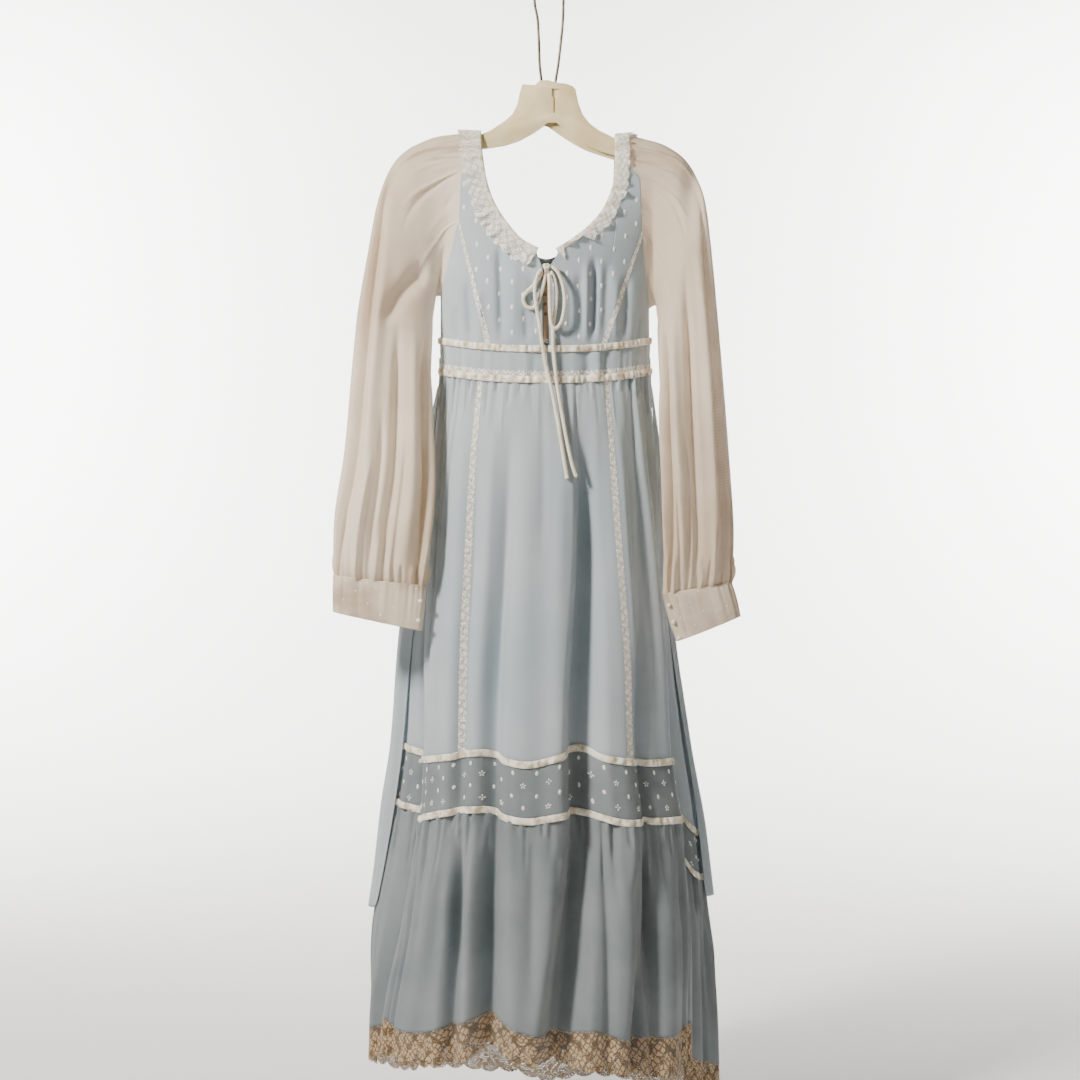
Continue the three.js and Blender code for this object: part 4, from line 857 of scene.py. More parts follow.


# %% [markdown]
# ## Skirt
# The skirt is gathered to the waist, most at the sides, and hangs in long soft folds. Gathers are many
# and shallow at the seam; further down they join into fewer, broader ones. Two seeded sets of gathers,
# short and long, give that. The larger creases are placed where the photo shows them, and
# similar ones go round the back. All the panels share these functions, so their seams meet.

# %% Folds of the skirt
# share round and seam row of each end, bow, half width as a share, depth
SKIRT_CREASES = (
    (0.318, 3.05, 0.312, 4.5, 0.002, 0.009, 3), (0.268, 3.05, 0.256, 4.6, -0.002, 0.012, 4),
    (0.197, 3.1, 0.185, 4.7, 0.001, 0.006, -4), (0.224, 3.02, 0.226, 4.4, -0.003, 0.014, 3),
    (0.172, 3.02, 0.168, 4.4, 0.002, 0.009, 3), (0.154, 3.2, 0.147, 4.7, 0, 0.005, -4),
    (0.122, 3.0, 0.122, 4.4, 0.002, 0.012, 4), (0.1, 3.0, 0.095, 3.7, -0.003, 0.006, -3),
    (0.085, 3.0, 0.08, 4.4, 0.004, 0.012, 4), (0.064, 3.0, 0.052, 4.7, 0.001, 0.007, -7),
    (0.036, 3.0, 0.03, 4.0, 0.003, 0.009, 4), (0.018, 3.0, 0.016, 4.2, 0, 0.006, -5),
    (0.24, 3.0, 0.241, 3.5, 0.002, 0.006, -1.6), (0.362, 3.0, 0.37, 4.3, -0.002, 0.01, 4),
    (0.375, 3.1, 0.358, 4.7, 0.001, 0.006, -5), (0.392, 3.0, 0.398, 4.0, 0.002, 0.007, -3),
    (0.412, 3.0, 0.42, 4.4, 0.003, 0.012, 4), (0.438, 3.0, 0.448, 4.7, -0.002, 0.007, -6),
    (0.464, 3.0, 0.472, 4.1, 0.002, 0.009, 4), (0.484, 3.0, 0.486, 4.3, 0.001, 0.006, -5),
    (0.54, 3.0, 0.55, 4.6, 0.004, 0.009, -7), (0.575, 3.0, 0.58, 4.2, -0.003, 0.012, 5),
    (0.61, 3.0, 0.615, 4.6, 0.002, 0.007, -4), (0.655, 3.02, 0.66, 4.1, 0.003, 0.012, 4),
    (0.69, 3.0, 0.7, 4.6, -0.002, 0.009, -7), (0.735, 3.0, 0.74, 4.2, 0.002, 0.007, -3),
    (0.78, 3.0, 0.785, 4.6, 0.003, 0.009, -6), (0.82, 3.0, 0.81, 4.3, 0.002, 0.012, 4.5),
    (0.865, 3.0, 0.862, 4.6, -0.002, 0.007, -4), (0.91, 3.0, 0.905, 4.2, -0.004, 0.012, 4.5),
    (0.945, 3.0, 0.95, 4.6, 0.003, 0.008, -6), (0.975, 3.0, 0.985, 4.1, 0.002, 0.009, 4),
)


def ribs(phase, soft=0.3):
    """Round ridges with narrower valleys, about -1 to 1."""
    return 2 * (np.sqrt(np.sin(phase / 2) ** 2 + soft**2) - soft) / (np.sqrt(1 + soft**2) - soft) - 1


SHORT_GATHERS = gathers(13, 116, SKIRT, (0.03, 0.18), 0.0027, 2.6)
LONG_GATHERS = gathers(14, 46, SKIRT, (0.15, 0.6), 0.008, 2.6)


def skirt_folds(u, v):
    t = np.clip(v - SKIRT, 0, 1)
    side = np.abs(np.cos(2 * np.pi * u)) ** 1.5
    layers = creases(SHORT_GATHERS, u, v, 1.0) * (0.3 + 0.9 * side)
    layers = layers + creases(LONG_GATHERS, u, v, 1.0) * (0.2 + 0.9 * side)
    layers = layers + wobble(u, 15, 7, 13) * (1.0 + 1.0 * side) * smooth(0.15, 0.5, t)
    return layers + creases(SKIRT_CREASES, u, v, 1.0)


def midriff_folds(u, v):
    w = u + 0.004 * wobble(u, 21, 3, 8)
    flat = 1 - 0.5 * smooth(1.2, 1.5, v) * (1 - smooth(1.5, 1.8, v))
    long = creases([(0.312, 0.7, 0.314, 2.4, 0, 0.008, -3.2), (0.345, 0.7, 0.343, 2.4, 0, 0.006, -2.4),
                    (0.33, 0.7, 0.33, 2.4, 0, 0.006, 1.6), (0.232, 0.8, 0.226, 2.4, 0, 0.006, -2.4),
                    (0.15, 0.8, 0.147, 2.4, 0, 0.006, -2.0), (0.1, 0.8, 0.1, 2.4, 0, 0.007, -2.2)], u, v, 1.0)
    return (0.9 * wobble(w, 22, 14, 34) + 0.4 * wobble(w, 23, 50, 80)) * flat + long


TRIM_LEFT, TRIM_RIGHT = (0.137, 0.1465), (0.3415, 0.351)


def down_rows(start, end, count, early=1.35):
    """Seam rows from start to end, closer together at the start where the gathers are fine."""
    return start + (end - start) * np.linspace(0, 1, count) ** early


def skirt_panel(name, from_u, to_u, across, down, tucks):
    points = body_grid(np.linspace(from_u, to_u, across), down_rows(SKIRT, BAND_TRIM, down), skirt_folds)
    cloth(name, tuck(points, sink=1.2, **tucks), blue_voile, "blue_voile", held="gathered",
          rests="midriff_trim_lower")


under = {"top": 4, "bottom": 4}
skirt_panel("skirt_center_front", TRIM_LEFT[1], TRIM_RIGHT[0], 150, 110, {**under, "start": 5, "end": 5})
skirt_panel("skirt_side_front_left", 0.0, TRIM_LEFT[0], 110, 110, {**under, "end": 5})
skirt_panel("skirt_side_front_right", TRIM_RIGHT[1], 0.5, 120, 110, {**under, "start": 5})
skirt_panel("skirt_back", 0.5, 1.0, 250, 96, under)

# %% [markdown]
# ## Midriff and insertion band
# Both are straight strips. The midriff is plain voile between two ribbons; the band is voile with
# embroidered dots and flowers, also between ribbons. They take the folds of the skirt above them, with
# a few small puckers from the seams.

# %% Midriff and band


def band_folds(u, v):
    w = u + 0.003 * wobble(u, 31, 4, 9)
    return skirt_folds(u, BAND_TRIM + 0 * v) + 0.5 * wobble(w, 32, 30, 60)


def midriff_panel(name, from_u, to_u, across):
    points = body_grid(np.linspace(from_u, to_u, across), np.linspace(MIDRIFF, LOW_TRIM, 10), midriff_folds)
    cloth(name, tuck(points, 4, 4, sink=1.2), blue_voile, "blue_voile", held="stretched",
          rests="midriff_trim_upper")


midriff_panel("midriff_front", 0.0, 0.5, 220)
midriff_panel("midriff_back", 0.5, 1.0, 160)

# %% [markdown]
# ## Embroidered dots and flowers
# White satin-stitch ovals and small five-petalled flowers are spread over the voile in a half-drop
# repeat. Each is a low dome of a few faces. Its corners are given in flat millimetres and then laid on
# the cloth's own grid, so the stitches follow every fold of it.

# %% Embroidery
STITCH_HEIGHT = 0.75


def lay_on(points, across, down, lift):
    """Places at millimetres across and down the flat cut of a grid, lifted off its outer face."""
    rows, cols = points.shape[:2]
    width, length = flat_size(points)
    c = np.clip(across / width.mean() * (cols - 1), 0, cols - 1.001)
    r = np.clip(down / length.mean() * (rows - 1), 0, rows - 1.001)
    i, j = r.astype(int), c.astype(int)
    fr, fc = (r - i)[..., None], (c - j)[..., None]
    normals = grid_normals(points)

    def between(a):
        left = a[i, j] * (1 - fr) + a[i + 1, j] * fr
        right = a[i, j + 1] * (1 - fr) + a[i + 1, j + 1] * fr
        return left * (1 - fc) + right * fc

    return between(points) + between(normals) * np.asarray(lift)[..., None]


def dome(width, height, sides, at=(0, 0), turn=0.0):
    """A low oval dome as corners (across, down, lift) and triangles."""
    a = np.arange(sides) * 2 * np.pi / sides
    ring = np.stack([np.cos(a) * width / 2, np.sin(a) * height / 2], -1)
    flat = np.concatenate([[[0, 0]], ring * 0.62, ring])
    spin = np.array([[np.cos(turn), np.sin(turn)], [-np.sin(turn), np.cos(turn)]])
    lift = np.concatenate([[1.0], np.full(sides, 0.8), np.full(sides, -0.25)]) * STITCH_HEIGHT
    corners = np.concatenate([flat @ spin + np.array(at), lift[:, None]], 1)
    k, n = np.arange(sides), (np.arange(sides) + 1) % sides
    tris = np.concatenate([
        np.stack([0 * k, 1 + n, 1 + k], -1),
        np.stack([1 + k, 1 + n, 1 + sides + n], -1), np.stack([1 + k, 1 + sides + n, 1 + sides + k], -1)])
    return corners, tris


def joined(parts):
    """Several (corners, triangles) as one."""
    start = np.cumsum([0] + [len(corners) for corners, _ in parts[:-1]])
    return (np.concatenate([corners for corners, _ in parts]),
            np.concatenate([tris + s for (_, tris), s in zip(parts, start)]))


def flower(petals):
    angles = np.arange(petals) * 2 * np.pi / petals - np.pi / 2
    ring = [dome(3.6, 2.6, 6, (np.cos(a) * 2.9, np.sin(a) * 2.9), a) for a in angles]
    return joined(ring + [dome(1.6, 1.6, 6)])


MOTIFS = (dome(4.8, 7.6, 10), flower(5), dome(5.2, 6.6, 10), flower(4))


def embroider(name, place, size, slot, repeat=(17.0, 34.0), edge=7.0, seed=5, motifs=MOTIFS, inside=None):
    """Spreads the motifs over a flat piece in a half-drop repeat; place turns flat places into points."""
    rng = np.random.default_rng(seed)
    parts = []
    for i in range(int(size[0] / repeat[0]) + 1):
        for j in range(-1, int(size[1] / repeat[1]) + 2):
            at = np.array([(i + 0.5) * repeat[0], (j + 0.25 + 0.5 * (i % 2)) * repeat[1]])
            at += rng.uniform(-1.2, 1.2, 2)
            if not (edge < at[0] < size[0] - edge and edge < at[1] < size[1] - edge):
                continue
            if inside and not inside(at):
                continue
            corners, tris = motifs[(i + 2 * j) % len(motifs) if (i + j) % 3 else 0]
            parts.append((corners + np.array([at[0], at[1], 0]), tris))
    corners, tris = joined(parts)
    obj = mesh_of("embroidery_" + name, place(corners[:, 0], corners[:, 1], corners[:, 2] + 0.45), tris)
    finish_piece(obj, white_thread, slot)
    print(f"embroidery {name}: {len(parts)} motifs")
    return obj


def embroider_grid(name, points, slot, repeat=(17.0, 34.0), edge=7.0, seed=5):
    """Embroidery over a piece that hangs as a grid of even rows and columns."""
    size = [side.mean() for side in flat_size(points)]
    return embroider(name, lambda across, down, lift: lay_on(points, across, down, lift), size, slot, repeat,
                     edge, seed)


def band_panel(name, from_u, to_u, across):
    points = body_grid(np.linspace(from_u, to_u, across), np.linspace(BAND, BAND_FOOT, 26), band_folds)
    stitches = embroider_grid(name, points, "dotted_voile", edge=5.0, seed=len(name))
    strip = tuck(points, 4, 4, sink=1.3)
    # the darker voile of the band is painted shade
    cloth(name, strip, painted_shade_voile, "dotted_voile", held="stretched", extras=[stitches],
          rests="band_trim_upper")


band_panel("insertion_band_front", 0.0, 0.5, 250)
band_panel("insertion_band_back", 0.5, 1.0, 220)

# %% [markdown]
# ## Flounce and hem lace
# The flounce is a strip about a quarter wider than its seam, gathered onto the lower ribbon. Many small
# gathers merge into about ten broad folds across the front. A scalloped lace is sewn to its edge and
# follows the same folds.

# %% Flounce and hem lace
# folds that the photo shows on the flounce, and like ones behind
FLOUNCE_CREASES = (
    (0.052, 7.0, 0.06, 9.9, 0.002, 0.008, -15), (0.068, 7.1, 0.072, 9.8, 0, 0.008, 5),
    (0.08, 7.0, 0.084, 9.8, -0.002, 0.0055, -7), (0.112, 7.1, 0.116, 9.8, 0.003, 0.012, 5),
    (0.145, 7.0, 0.166, 9.9, 0.002, 0.007, -16), (0.168, 7.1, 0.183, 9.8, 0, 0.008, 5),
    (0.187, 7.0, 0.204, 9.9, -0.002, 0.006, -9), (0.216, 7.1, 0.22, 9.8, 0.002, 0.01, 6),
    (0.25, 7.1, 0.232, 9.8, 0.001, 0.01, 5), (0.277, 6.9, 0.253, 9.9, -0.002, 0.009, -9),
    (0.296, 7.05, 0.283, 9.8, 0.001, 0.007, 6), (0.309, 7.0, 0.306, 9.6, 0.001, 0.0055, -8),
    (0.326, 7.1, 0.324, 9.8, 0.003, 0.012, 6), (0.343, 7.1, 0.341, 9.4, -0.001, 0.0055, -7),
    (0.357, 7.0, 0.367, 9.9, 0.002, 0.0075, -18), (0.39, 7.1, 0.392, 9.8, -0.002, 0.012, 5),
    (0.415, 7.1, 0.42, 9.6, 0.001, 0.006, -6), (0.448, 7.1, 0.45, 9.8, 0.002, 0.0075, -11),
    (0.478, 7.1, 0.476, 9.8, 0.002, 0.009, 5), (0.53, 7.1, 0.536, 9.8, 0.002, 0.008, -11),
    (0.56, 7.1, 0.57, 9.8, -0.002, 0.01, 5), (0.59, 7.1, 0.586, 9.8, 0.003, 0.007, -8),
    (0.63, 7.0, 0.64, 9.8, 0.002, 0.011, 6), (0.68, 7.1, 0.69, 9.8, -0.003, 0.008, -13),
    (0.715, 7.2, 0.72, 9.8, 0.002, 0.01, 5), (0.745, 7.1, 0.752, 9.8, 0.002, 0.007, -9),
    (0.8, 7.1, 0.792, 9.8, 0.003, 0.008, -13), (0.845, 7.1, 0.85, 9.8, -0.002, 0.01, 6),
    (0.88, 7.1, 0.884, 9.8, 0.001, 0.007, -9), (0.925, 7.1, 0.93, 9.8, 0.002, 0.008, -12),
    (0.96, 7.1, 0.966, 9.8, 0.001, 0.01, 5),
)
SHORT_TUCKS = gathers(44, 150, FLOUNCE, (0.08, 0.7), 0.0026, 3.0)
LONG_TUCKS = gathers(45, 62, FLOUNCE, (0.4, 2.0), 0.0056, 4.0)


def flounce_folds(u, v):
    t = fall(v)
    row = FLOUNCE + 2 * t
    layers = creases(SHORT_TUCKS, u, row, 1.0) + creases(LONG_TUCKS, u, row, 1.0)
    layers = layers + wobble(u, 46, 9, 18) * 2.6 * smooth(0.2, 0.7, t)
    return skirt_folds(u, BAND_TRIM + 0 * v) * (1 - t) + layers + creases(FLOUNCE_CREASES, u, row, 1.0)


SCALLOP = 21.0  # width of one scallop of the hem lace


def hem_lace_grid(from_u, to_u, across, down=9):
    points = body_grid(np.linspace(from_u, to_u, across), np.linspace(LACE, HEM, down), flounce_folds)
    run = flat_size(points[-1:].repeat(2, 0))[0][0] * np.linspace(0, 1, across)
    wave = np.abs(np.sin(np.pi * run / SCALLOP)) ** 0.7
    small = np.abs(np.sin(np.pi * run / SCALLOP * 5))
    drop = np.linspace(0, 1, down)[:, None] ** 1.5 * (6.5 * wave + 1.3 * small - 1)
    points[..., 2] -= drop
    return points


for half, from_u, to_u, across in (("front", 0.0, 0.5, 340), ("back", 0.5, 1.0, 300)):
    rows = np.concatenate([[FLOUNCE - 0.25], down_rows(FLOUNCE, LACE, 56, 1.25)])
    points = body_grid(np.linspace(from_u, to_u, across), rows, flounce_folds)
    normals = grid_normals(points)
    points[:2] -= normals[:2] * 0.6
    # the darker voile of the flounce is painted shade
    cloth("flounce_" + half, points, painted_shade_voile, "blue_voile", held="gathered", rests="band_trim_lower")
    edging = hem_lace_grid(from_u, to_u, 2 * across)
    edging = tuck(edging, top=3, sink=-0.9)
    # the dark ecru of the hem lace is partly painted shade
    cloth("hem_lace_" + half, edging, ecru_lace_painted_shade, "hem_lace", thick=0, held="gathered",
          rests="flounce_" + half)

# %% [markdown]
# ## Ribbon trims
# Ivory satin ribbon covers each seam round the body. Sewn along both edges, it draws up a little:
# its middle bulges and small puckers cross it. The lower waist ribbon has a row of lace picots along its
# upper edge.

# %% Ribbon trims


def ribbon(name, top, folds, seed, across=640):
    def lifted(u, v):
        s = np.clip(v - top, 0, 1)
        puckers = ribs(2 * np.pi * 70 * u + 2.5 * wobble(u, seed + 1, 9, 30), 0.5)
        bulge = 1 - (2 * s - 1) ** 2
        small = 0.4 * wobble(u, seed + 2, 50, 110)
        return folds(u, v) + 1.9 + 0.5 * bulge + (1.1 * puckers + small) * (0.3 + 0.7 * bulge)

    rows = np.linspace(top, top + 1, 8)
    points = body_grid(np.linspace(0, 1, across, endpoint=False), rows, lifted)
    cloth(name, points, ribbon_satin, "ribbon", thick=0.8, closed=True, held="stretched",
          rests="midriff_trim_upper")


ribbon("midriff_trim_upper", TOP_TRIM, midriff_folds, 51)
ribbon("midriff_trim_lower", LOW_TRIM, midriff_folds, 54)
ribbon("band_trim_upper", BAND_TRIM, band_folds, 57)
ribbon("band_trim_lower", BAND_FOOT, band_folds, 60)


def picots(u, v):
    return midriff_folds(u, v) + lerp(1.2, 0.4, smooth(LOW_TRIM, LOW_TRIM + 0.4, v))


def picot_edging():
    columns = np.linspace(0, 1, 900, endpoint=False)
    points = body_grid(columns, np.linspace(LOW_TRIM - 0.16, LOW_TRIM + 0.42, 6), picots)
    rise = np.linspace(1, -1, 6).clip(0)[:, None]
    points[..., 2] += rise * 2.4 * np.abs(np.sin(2 * np.pi * 62 * columns))
    obj = grid_mesh("picot_edging", points, closed=True)
    finish_piece(obj, cream_lace, "trim_lace")
    width, length = flat_size(points, True)


picot_edging()

# %% [markdown]
# ## Lace down the skirt
# Two narrow lace trims run down the skirt from the waist to the band. They are flat strips with small
# scallops along both edges, sewn over the seams of the centre panel.

# %% Lace down the skirt


def lace_strip(name, left, right, scallop, across=9, lift=1.1):
    """A strip between two edges (rows of points), widened a little by small scallops."""
    share = np.linspace(-0.5, 0.5, across)[None, :, None]
    middle = ((left + right) / 2)[:, None]
    half = (right - left)[:, None]
    run = chain_run(middle[:, 0])
    edge = 0.86 + 0.3 * np.abs(np.sin(np.pi * run / scallop))[:, None, None]
    points = middle + half * share * edge
    normals = grid_normals(points)
    points = points + normals * (lift + 0.25 * np.sin(run * 0.9)[:, None, None])
    cloth(name, points, cream_lace, "trim_lace", thick=0, held="stretched", rests="midriff_trim_lower")


for hand, (near, far) in (("left", TRIM_LEFT), ("right", TRIM_RIGHT)):
    rows = down_rows(SKIRT, BAND_TRIM, 420, 1.0)
    edges = body_grid(np.array([near, far]), rows, skirt_folds)
    lace_strip("skirt_trim_" + hand, edges[:, 0], edges[:, 1], 7.5)

# %% [markdown]
# ## Bodice
# The centre fronts are dotted voile, parted by a placket slit, with plain side fronts beyond narrow
# lace. Each panel runs from its upper edge, at the neck, raglan seam or underarm, down to the waist.
# Columns fan out between the two, as the grain does. The photo's vertical folds are placed one by one.

# %% Bodice
CENTRE_FEET = np.array([0, 0.02, 0.05, 0.1, 0.16, 0.24, 0.35, 0.5, 0.72, 1])
NECK_STEPS = np.array([RAGLAN_SHARE, 0.7, 0.56, 0.42, 0.28, 0.14, 0])


def mid(a, b, t):
    return tuple(lerp(p, q, t) for p, q in zip(a, b))


def front_panel(hand, part, across, down):
    """Points of one front panel, from the upper edge to the waist."""
    r, sign, (foot_out, foot_in) = RAGLAN[hand], SIGN[hand], PRINCESS_FOOT[hand]
    half = BODY["frontLeft" if hand == "left" else "frontRight"][0]
    if part == "centre":
        neck = neck_at(hand, NECK_STEPS, np.full(7, BINDING))
        top = [r["top"], mid(r["top"], r["bend"], 0.5), r["bend"], *map(tuple, neck)]
        foot = lerp(foot_in, SLIT[hand], CENTRE_FEET)
    elif part == "side":
        top = [mid(r["arm"], r["low"], t) for t in np.linspace(0, 1, 6)]
        foot = lerp(sign * half, foot_out, np.linspace(0, 1, 6))
    else:
        top, foot = [r["low"], r["top"]], np.array([foot_out, foot_in], float)
    at = np.linspace(0, len(top) - 1, across)
    upper = np.stack([np.interp(at, np.arange(len(top)), [p[k] for p in top]) for k in (0, 1)], -1)
    foot_x = np.interp(at, np.arange(len(top)), foot)
    t = np.linspace(0, 1, down)[:, None]
    ease = 1 + 0.2 * np.minimum(at, 3) * (part == "centre")
    x = lerp(upper[:, 0], foot_x, t**ease)
    if part == "centre":
        inner = lerp(upper[-1, 0], SLIT[hand], smooth(0, 0.2, t))
        near = smooth(len(top) - 2, len(top) - 1, at)
        x = lerp(x, inner, near)
    z = lerp(upper[:, 1], waist_height(foot_x / half), t)
    points = upper_grid(x, z, -1)[0]
    return points if hand == "left" else points[:, ::-1]


def within(outline, at, margin):
    """True where a place and four places round it lie inside an outline of points (X, Z)."""
    a, b = outline, np.roll(outline, -1, axis=0)
    for dx, dz in ((0, 0), (margin, 0), (-margin, 0), (0, 1.5 * margin), (0, -1.5 * margin)):
        x, z = at[0] + dx, at[1] + dz
        crossing = (a[:, 1] > z) != (b[:, 1] > z)
        run = a[:, 0] + (z - a[:, 1]) / np.where(crossing, b[:, 1] - a[:, 1], 1) * (b[:, 0] - a[:, 0])
        if np.count_nonzero(crossing & (x < run)) % 2 == 0:
            return False
    return True


OVALS = (dome(4.6, 9.0, 10), dome(4.6, 8.4, 10), dome(4.2, 9.0, 10))


def embroider_front(hand, centre):
    """Upright ovals over a centre front, spread in its own plane so that they stay true to the grain."""
    outline = np.concatenate([centre[0], centre[1:, -1], centre[-1, ::-1], centre[::-1, 0]])[:, [0, 2]]
    low, high = outline.min(0), outline.max(0)

    def place(across, down, lift):
        points, normals = upper_grid(low[0] + across, high[1] - down, -1)
        return points + normals * lift[:, None]

    def inside(at):
        return within(outline, (low[0] + at[0], high[1] - at[1]), 5.0)

    return embroider("bodice_" + hand, place, high - low, "dotted_voile", (17.0, 36.0), 2.0, 7 + len(hand),
                     OVALS, inside)


for hand in ("left", "right"):
    inner, outer = ("start", "end") if hand == "right" else ("end", "start")
    centre = front_panel(hand, "centre", 110, 84)
    stitches = embroider_front(hand, centre)
    cloth("bodice_center_front_" + hand, tuck(centre, sink=1.0, **{"top": 3, "bottom": 4, outer: 5}),
          blue_voile, "dotted_voile", held="gathered", extras=[stitches], cut=(0.14, 0.32))
    side = front_panel(hand, "side", 44, 70)
    cloth("bodice_side_front_" + hand, tuck(side, sink=1.0, **{"top": 2, "bottom": 4, inner: 5}), blue_voile,
          "blue_voile", held="gathered")
    trim = front_panel(hand, "trim", 9, 150)
    lace_strip("princess_trim_" + hand, trim[:, 0], trim[:, -1], 6.0)


def back_grid(across, down):
    def edge(hand):
        r = RAGLAN[hand]
        neck = neck_at(hand, NECK_STEPS[:-1], np.full(6, BINDING))
        drop = BACK_DROP * (1 - smooth(0.5, RAGLAN_SHARE, NECK_STEPS[:-1]))
        return [r["arm"], mid(r["low"], r["arm"], 0.6), r["low"], r["top"], mid(r["bend"], r["top"], 0.5),
                r["bend"], *[(x, z - d) for (x, z), d in zip(neck, drop)]]

    top = [*edge("right"), (BACK_NECK[0], BACK_NECK[1] - BINDING), *edge("left")[::-1]]
    at = np.linspace(0, len(top) - 1, across)
    upper = np.stack([np.interp(at, np.arange(len(top)), [p[k] for p in top]) for k in (0, 1)], -1)
    way = np.sin(np.pi / 2 * (1 - at / (len(top) - 1) * 2))
    foot_x = way * np.where(way > 0, BODY["frontRight"][0], BODY["frontLeft"][0])
    t = np.linspace(0, 1, down)[:, None]
    x, z = lerp(upper[:, 0], foot_x, t), lerp(upper[:, 1], waist_height(way), t)
    return upper_grid(x, z, 1)[0]


cloth("bodice_back", tuck(back_grid(180, 80), 2, 4), blue_voile, "blue_voile", held="gathered",
      cut=(0.42, 0.32))

# %% [markdown]
# ## Neck
# A narrow binding closes the neck edge, and a gathered lace collar lies outside it. The lace is flat at
# the binding and ripples more and more towards its scalloped edge. On the right a short piece of it has
# flipped up, as the photo shows.

# %% Neck
NECK_UP = np.array([0, 0.14, 0.28, 0.42, 0.56, 0.7, RAGLAN_SHARE, 0.93, 0.97, 1])


def neck_row(out, folded=False):
    """Points all round the neck edge, from the slit up the left, down the back and up the right."""
    half = {}
    for hand in ("left", "right"):
        rows = []
        for side, steps in ((-1, NECK_UP), (1, NECK_UP[-2:0:-1])):
            xz = neck_at(hand, steps, np.full(len(steps), out))
            if side > 0:
                xz[:, 1] -= BACK_DROP * (1 - smooth(0.5, RAGLAN_SHARE, steps))
            top = look(SHOULDER, "x", "z", xz[:, 0])
            z = np.where(steps == 0.97, top - 2, np.minimum(xz[:, 1], top - 6))
            p, n = upper_grid(xz[:, 0], z, side, folded)
            crest = steps == 1
            p[crest] = np.stack([xz[crest, 0], 0 * xz[crest, 0], top[crest]], -1)
            n[crest] = (0, 0, 1)
            rows.append((p, n))
        half[hand] = tuple(np.concatenate(parts) for parts in zip(*rows))
    back, back_n = upper_grid(np.array([BACK_NECK[0]]), np.array([BACK_NECK[1] - out]), 1, False)
    return tuple(np.concatenate([half["left"][k], (back, back_n)[k], half["right"][k][::-1]]) for k in (0, 1))


def neck_grid(outs, across):
    rows = [neck_row(out) for out in outs]
    at = np.linspace(0, len(rows[0][0]) - 1, across)
    return np.stack([spline(p, at) for p, _ in rows]), unit(np.stack([spline(n, at) for _, n in rows]))


def neck_binding(across=420, down=6):
    points, normals = neck_grid(np.linspace(BINDING, 0.3, down), across)
    fold = np.linspace(1, -1, down)[:, None]
    round_off = 1.3 * (1 - fold**2) + 0.2 * np.sin(np.linspace(0, across, across) * 1.1)
    cloth("neck_binding", points + normals * round_off[..., None], ribbon_satin, "ribbon", thick=1.6,
          held="stretched", rests="hanger_body")


def neck_lace():
    across, down = 1100, 14
    t = np.linspace(1, 0, down)
    wide = neck_grid([30.0, 4.0], across)
    narrow = neck_grid([20.0, 4.0], across)
    run = np.linspace(0, 1, across)
    right = smooth(0.74, 0.78, run)[:, None]
    outer = lerp(wide[0][0], narrow[0][0], right)
    normal = unit(lerp(wide[1][0], wide[1][1], 0.5))
    inner = wide[0][1]
    points = inner + (outer - inner) * t[:, None, None]
    ripple = np.sin(2 * np.pi * 40 * run + 2.6 * wobble(run, 71, 5, 17)) * (1 + 0.4 * wobble(run, 72, 7, 19))
    ripple = ripple + 0.5 * np.sin(2 * np.pi * 83 * run + 2.2 * wobble(run, 73, 9, 23))
    scallop = np.abs(np.sin(np.pi * run * 74))
    lift = 2.6 + 2.4 * t[:, None] + 2.9 * t[:, None] ** 1.2 * ripple
    points = points + normal * lift[..., None]
    uneven = 0.16 * scallop - 0.06 + 0.07 * wobble(run, 74, 7, 26)
    points = points + (outer - inner) * (t[:, None] ** 2 * uneven)[..., None]
    # the flipped piece stands up off the cloth at the right of the slit
    flip = smooth(0.952, 0.962, run) * (1 - smooth(0.985, 0.995, run))
    way = unit(outer - inner)
    turned = flip * t[:, None]
    points = points - way * (turned * 17)[..., None] + normal * (turned * 4)[..., None]
    cloth("neck_lace", points, cream_lace, "trim_lace", thick=0, held="gathered")


neck_binding()
neck_lace()

# %% [markdown]
# ## Sleeves
# Each sleeve is one piece of sheer voile, gathered into the neck edge and raglan seam, hanging in long
# soft folds and gathered again above the cuff. It is worked out as rings from the armhole to the wrist,
# made finer by a smooth curve through them, and then folded along its own outward direction. A single
# layer is used, so that the hanger's arm shows through at the shoulder as it does in the photo.

# %% Sleeves
# rows of outer edge X and Z, inner edge X and Z, half depth, how far forward, and how closely the row
# follows the armhole
SLEEVES = {
    "left": np.array([
        (-136, -221, -166, -457, 22, 0, 0.75), (-170, -226, -167, -468, 25, 2, 0.45),
        (-205, -241, -168, -479, 28, 5, 0.2), (-230, -267, -169, -492, 30, 9, 0.05),
        (-247, -312, -169, -510, 32, 14, 0), (-259, -372, -170, -540, 33, 20, 0),
        (-271, -460, -171, -588, 34, 27, 0), (-281, -565, -169, -655, 34, 34, 0),
        (-291, -680, -166, -725, 32, 40, 0), (-306, -775, -170, -800, 30, 44, 0),
        (-310, -835, -175, -852, 24, 46, 0), (-309, -859, -177, -874, 17, 46, 0)], float),
    "right": np.array([
        (134, -227, 156, -470, 22, 3, 0.75), (167, -236, 157, -483, 25, 9, 0.45),
        (193, -251, 158, -494, 28, 16, 0.2), (212, -276, 157, -508, 30, 23, 0.05),
        (225, -318, 157, -525, 32, 29, 0), (233, -378, 158, -552, 32, 34, 0),
        (241, -465, 160, -596, 32, 39, 0), (250, -572, 161, -658, 32, 42, 0),
        (259, -690, 164, -728, 30, 45, 0), (265, -785, 165, -806, 28, 47, 0),
        (264, -842, 164, -862, 23, 48, 0), (261, -869, 164, -885, 16, 48, 0)], float),
}
CUFFS = {
    "left": np.array([(-309, -858, -177, -873, 17, 46), (-310, -886, -180, -907, 17, 46),
                      (-310, -911, -183, -938, 16, 46)], float),
    "right": np.array([(261, -868, 164, -884, 16, 48), (269, -894, 173, -921, 17, 48),
                       (274, -917, 184, -953, 16, 48)], float),
}
ROUND = 28  # columns of the coarse rings
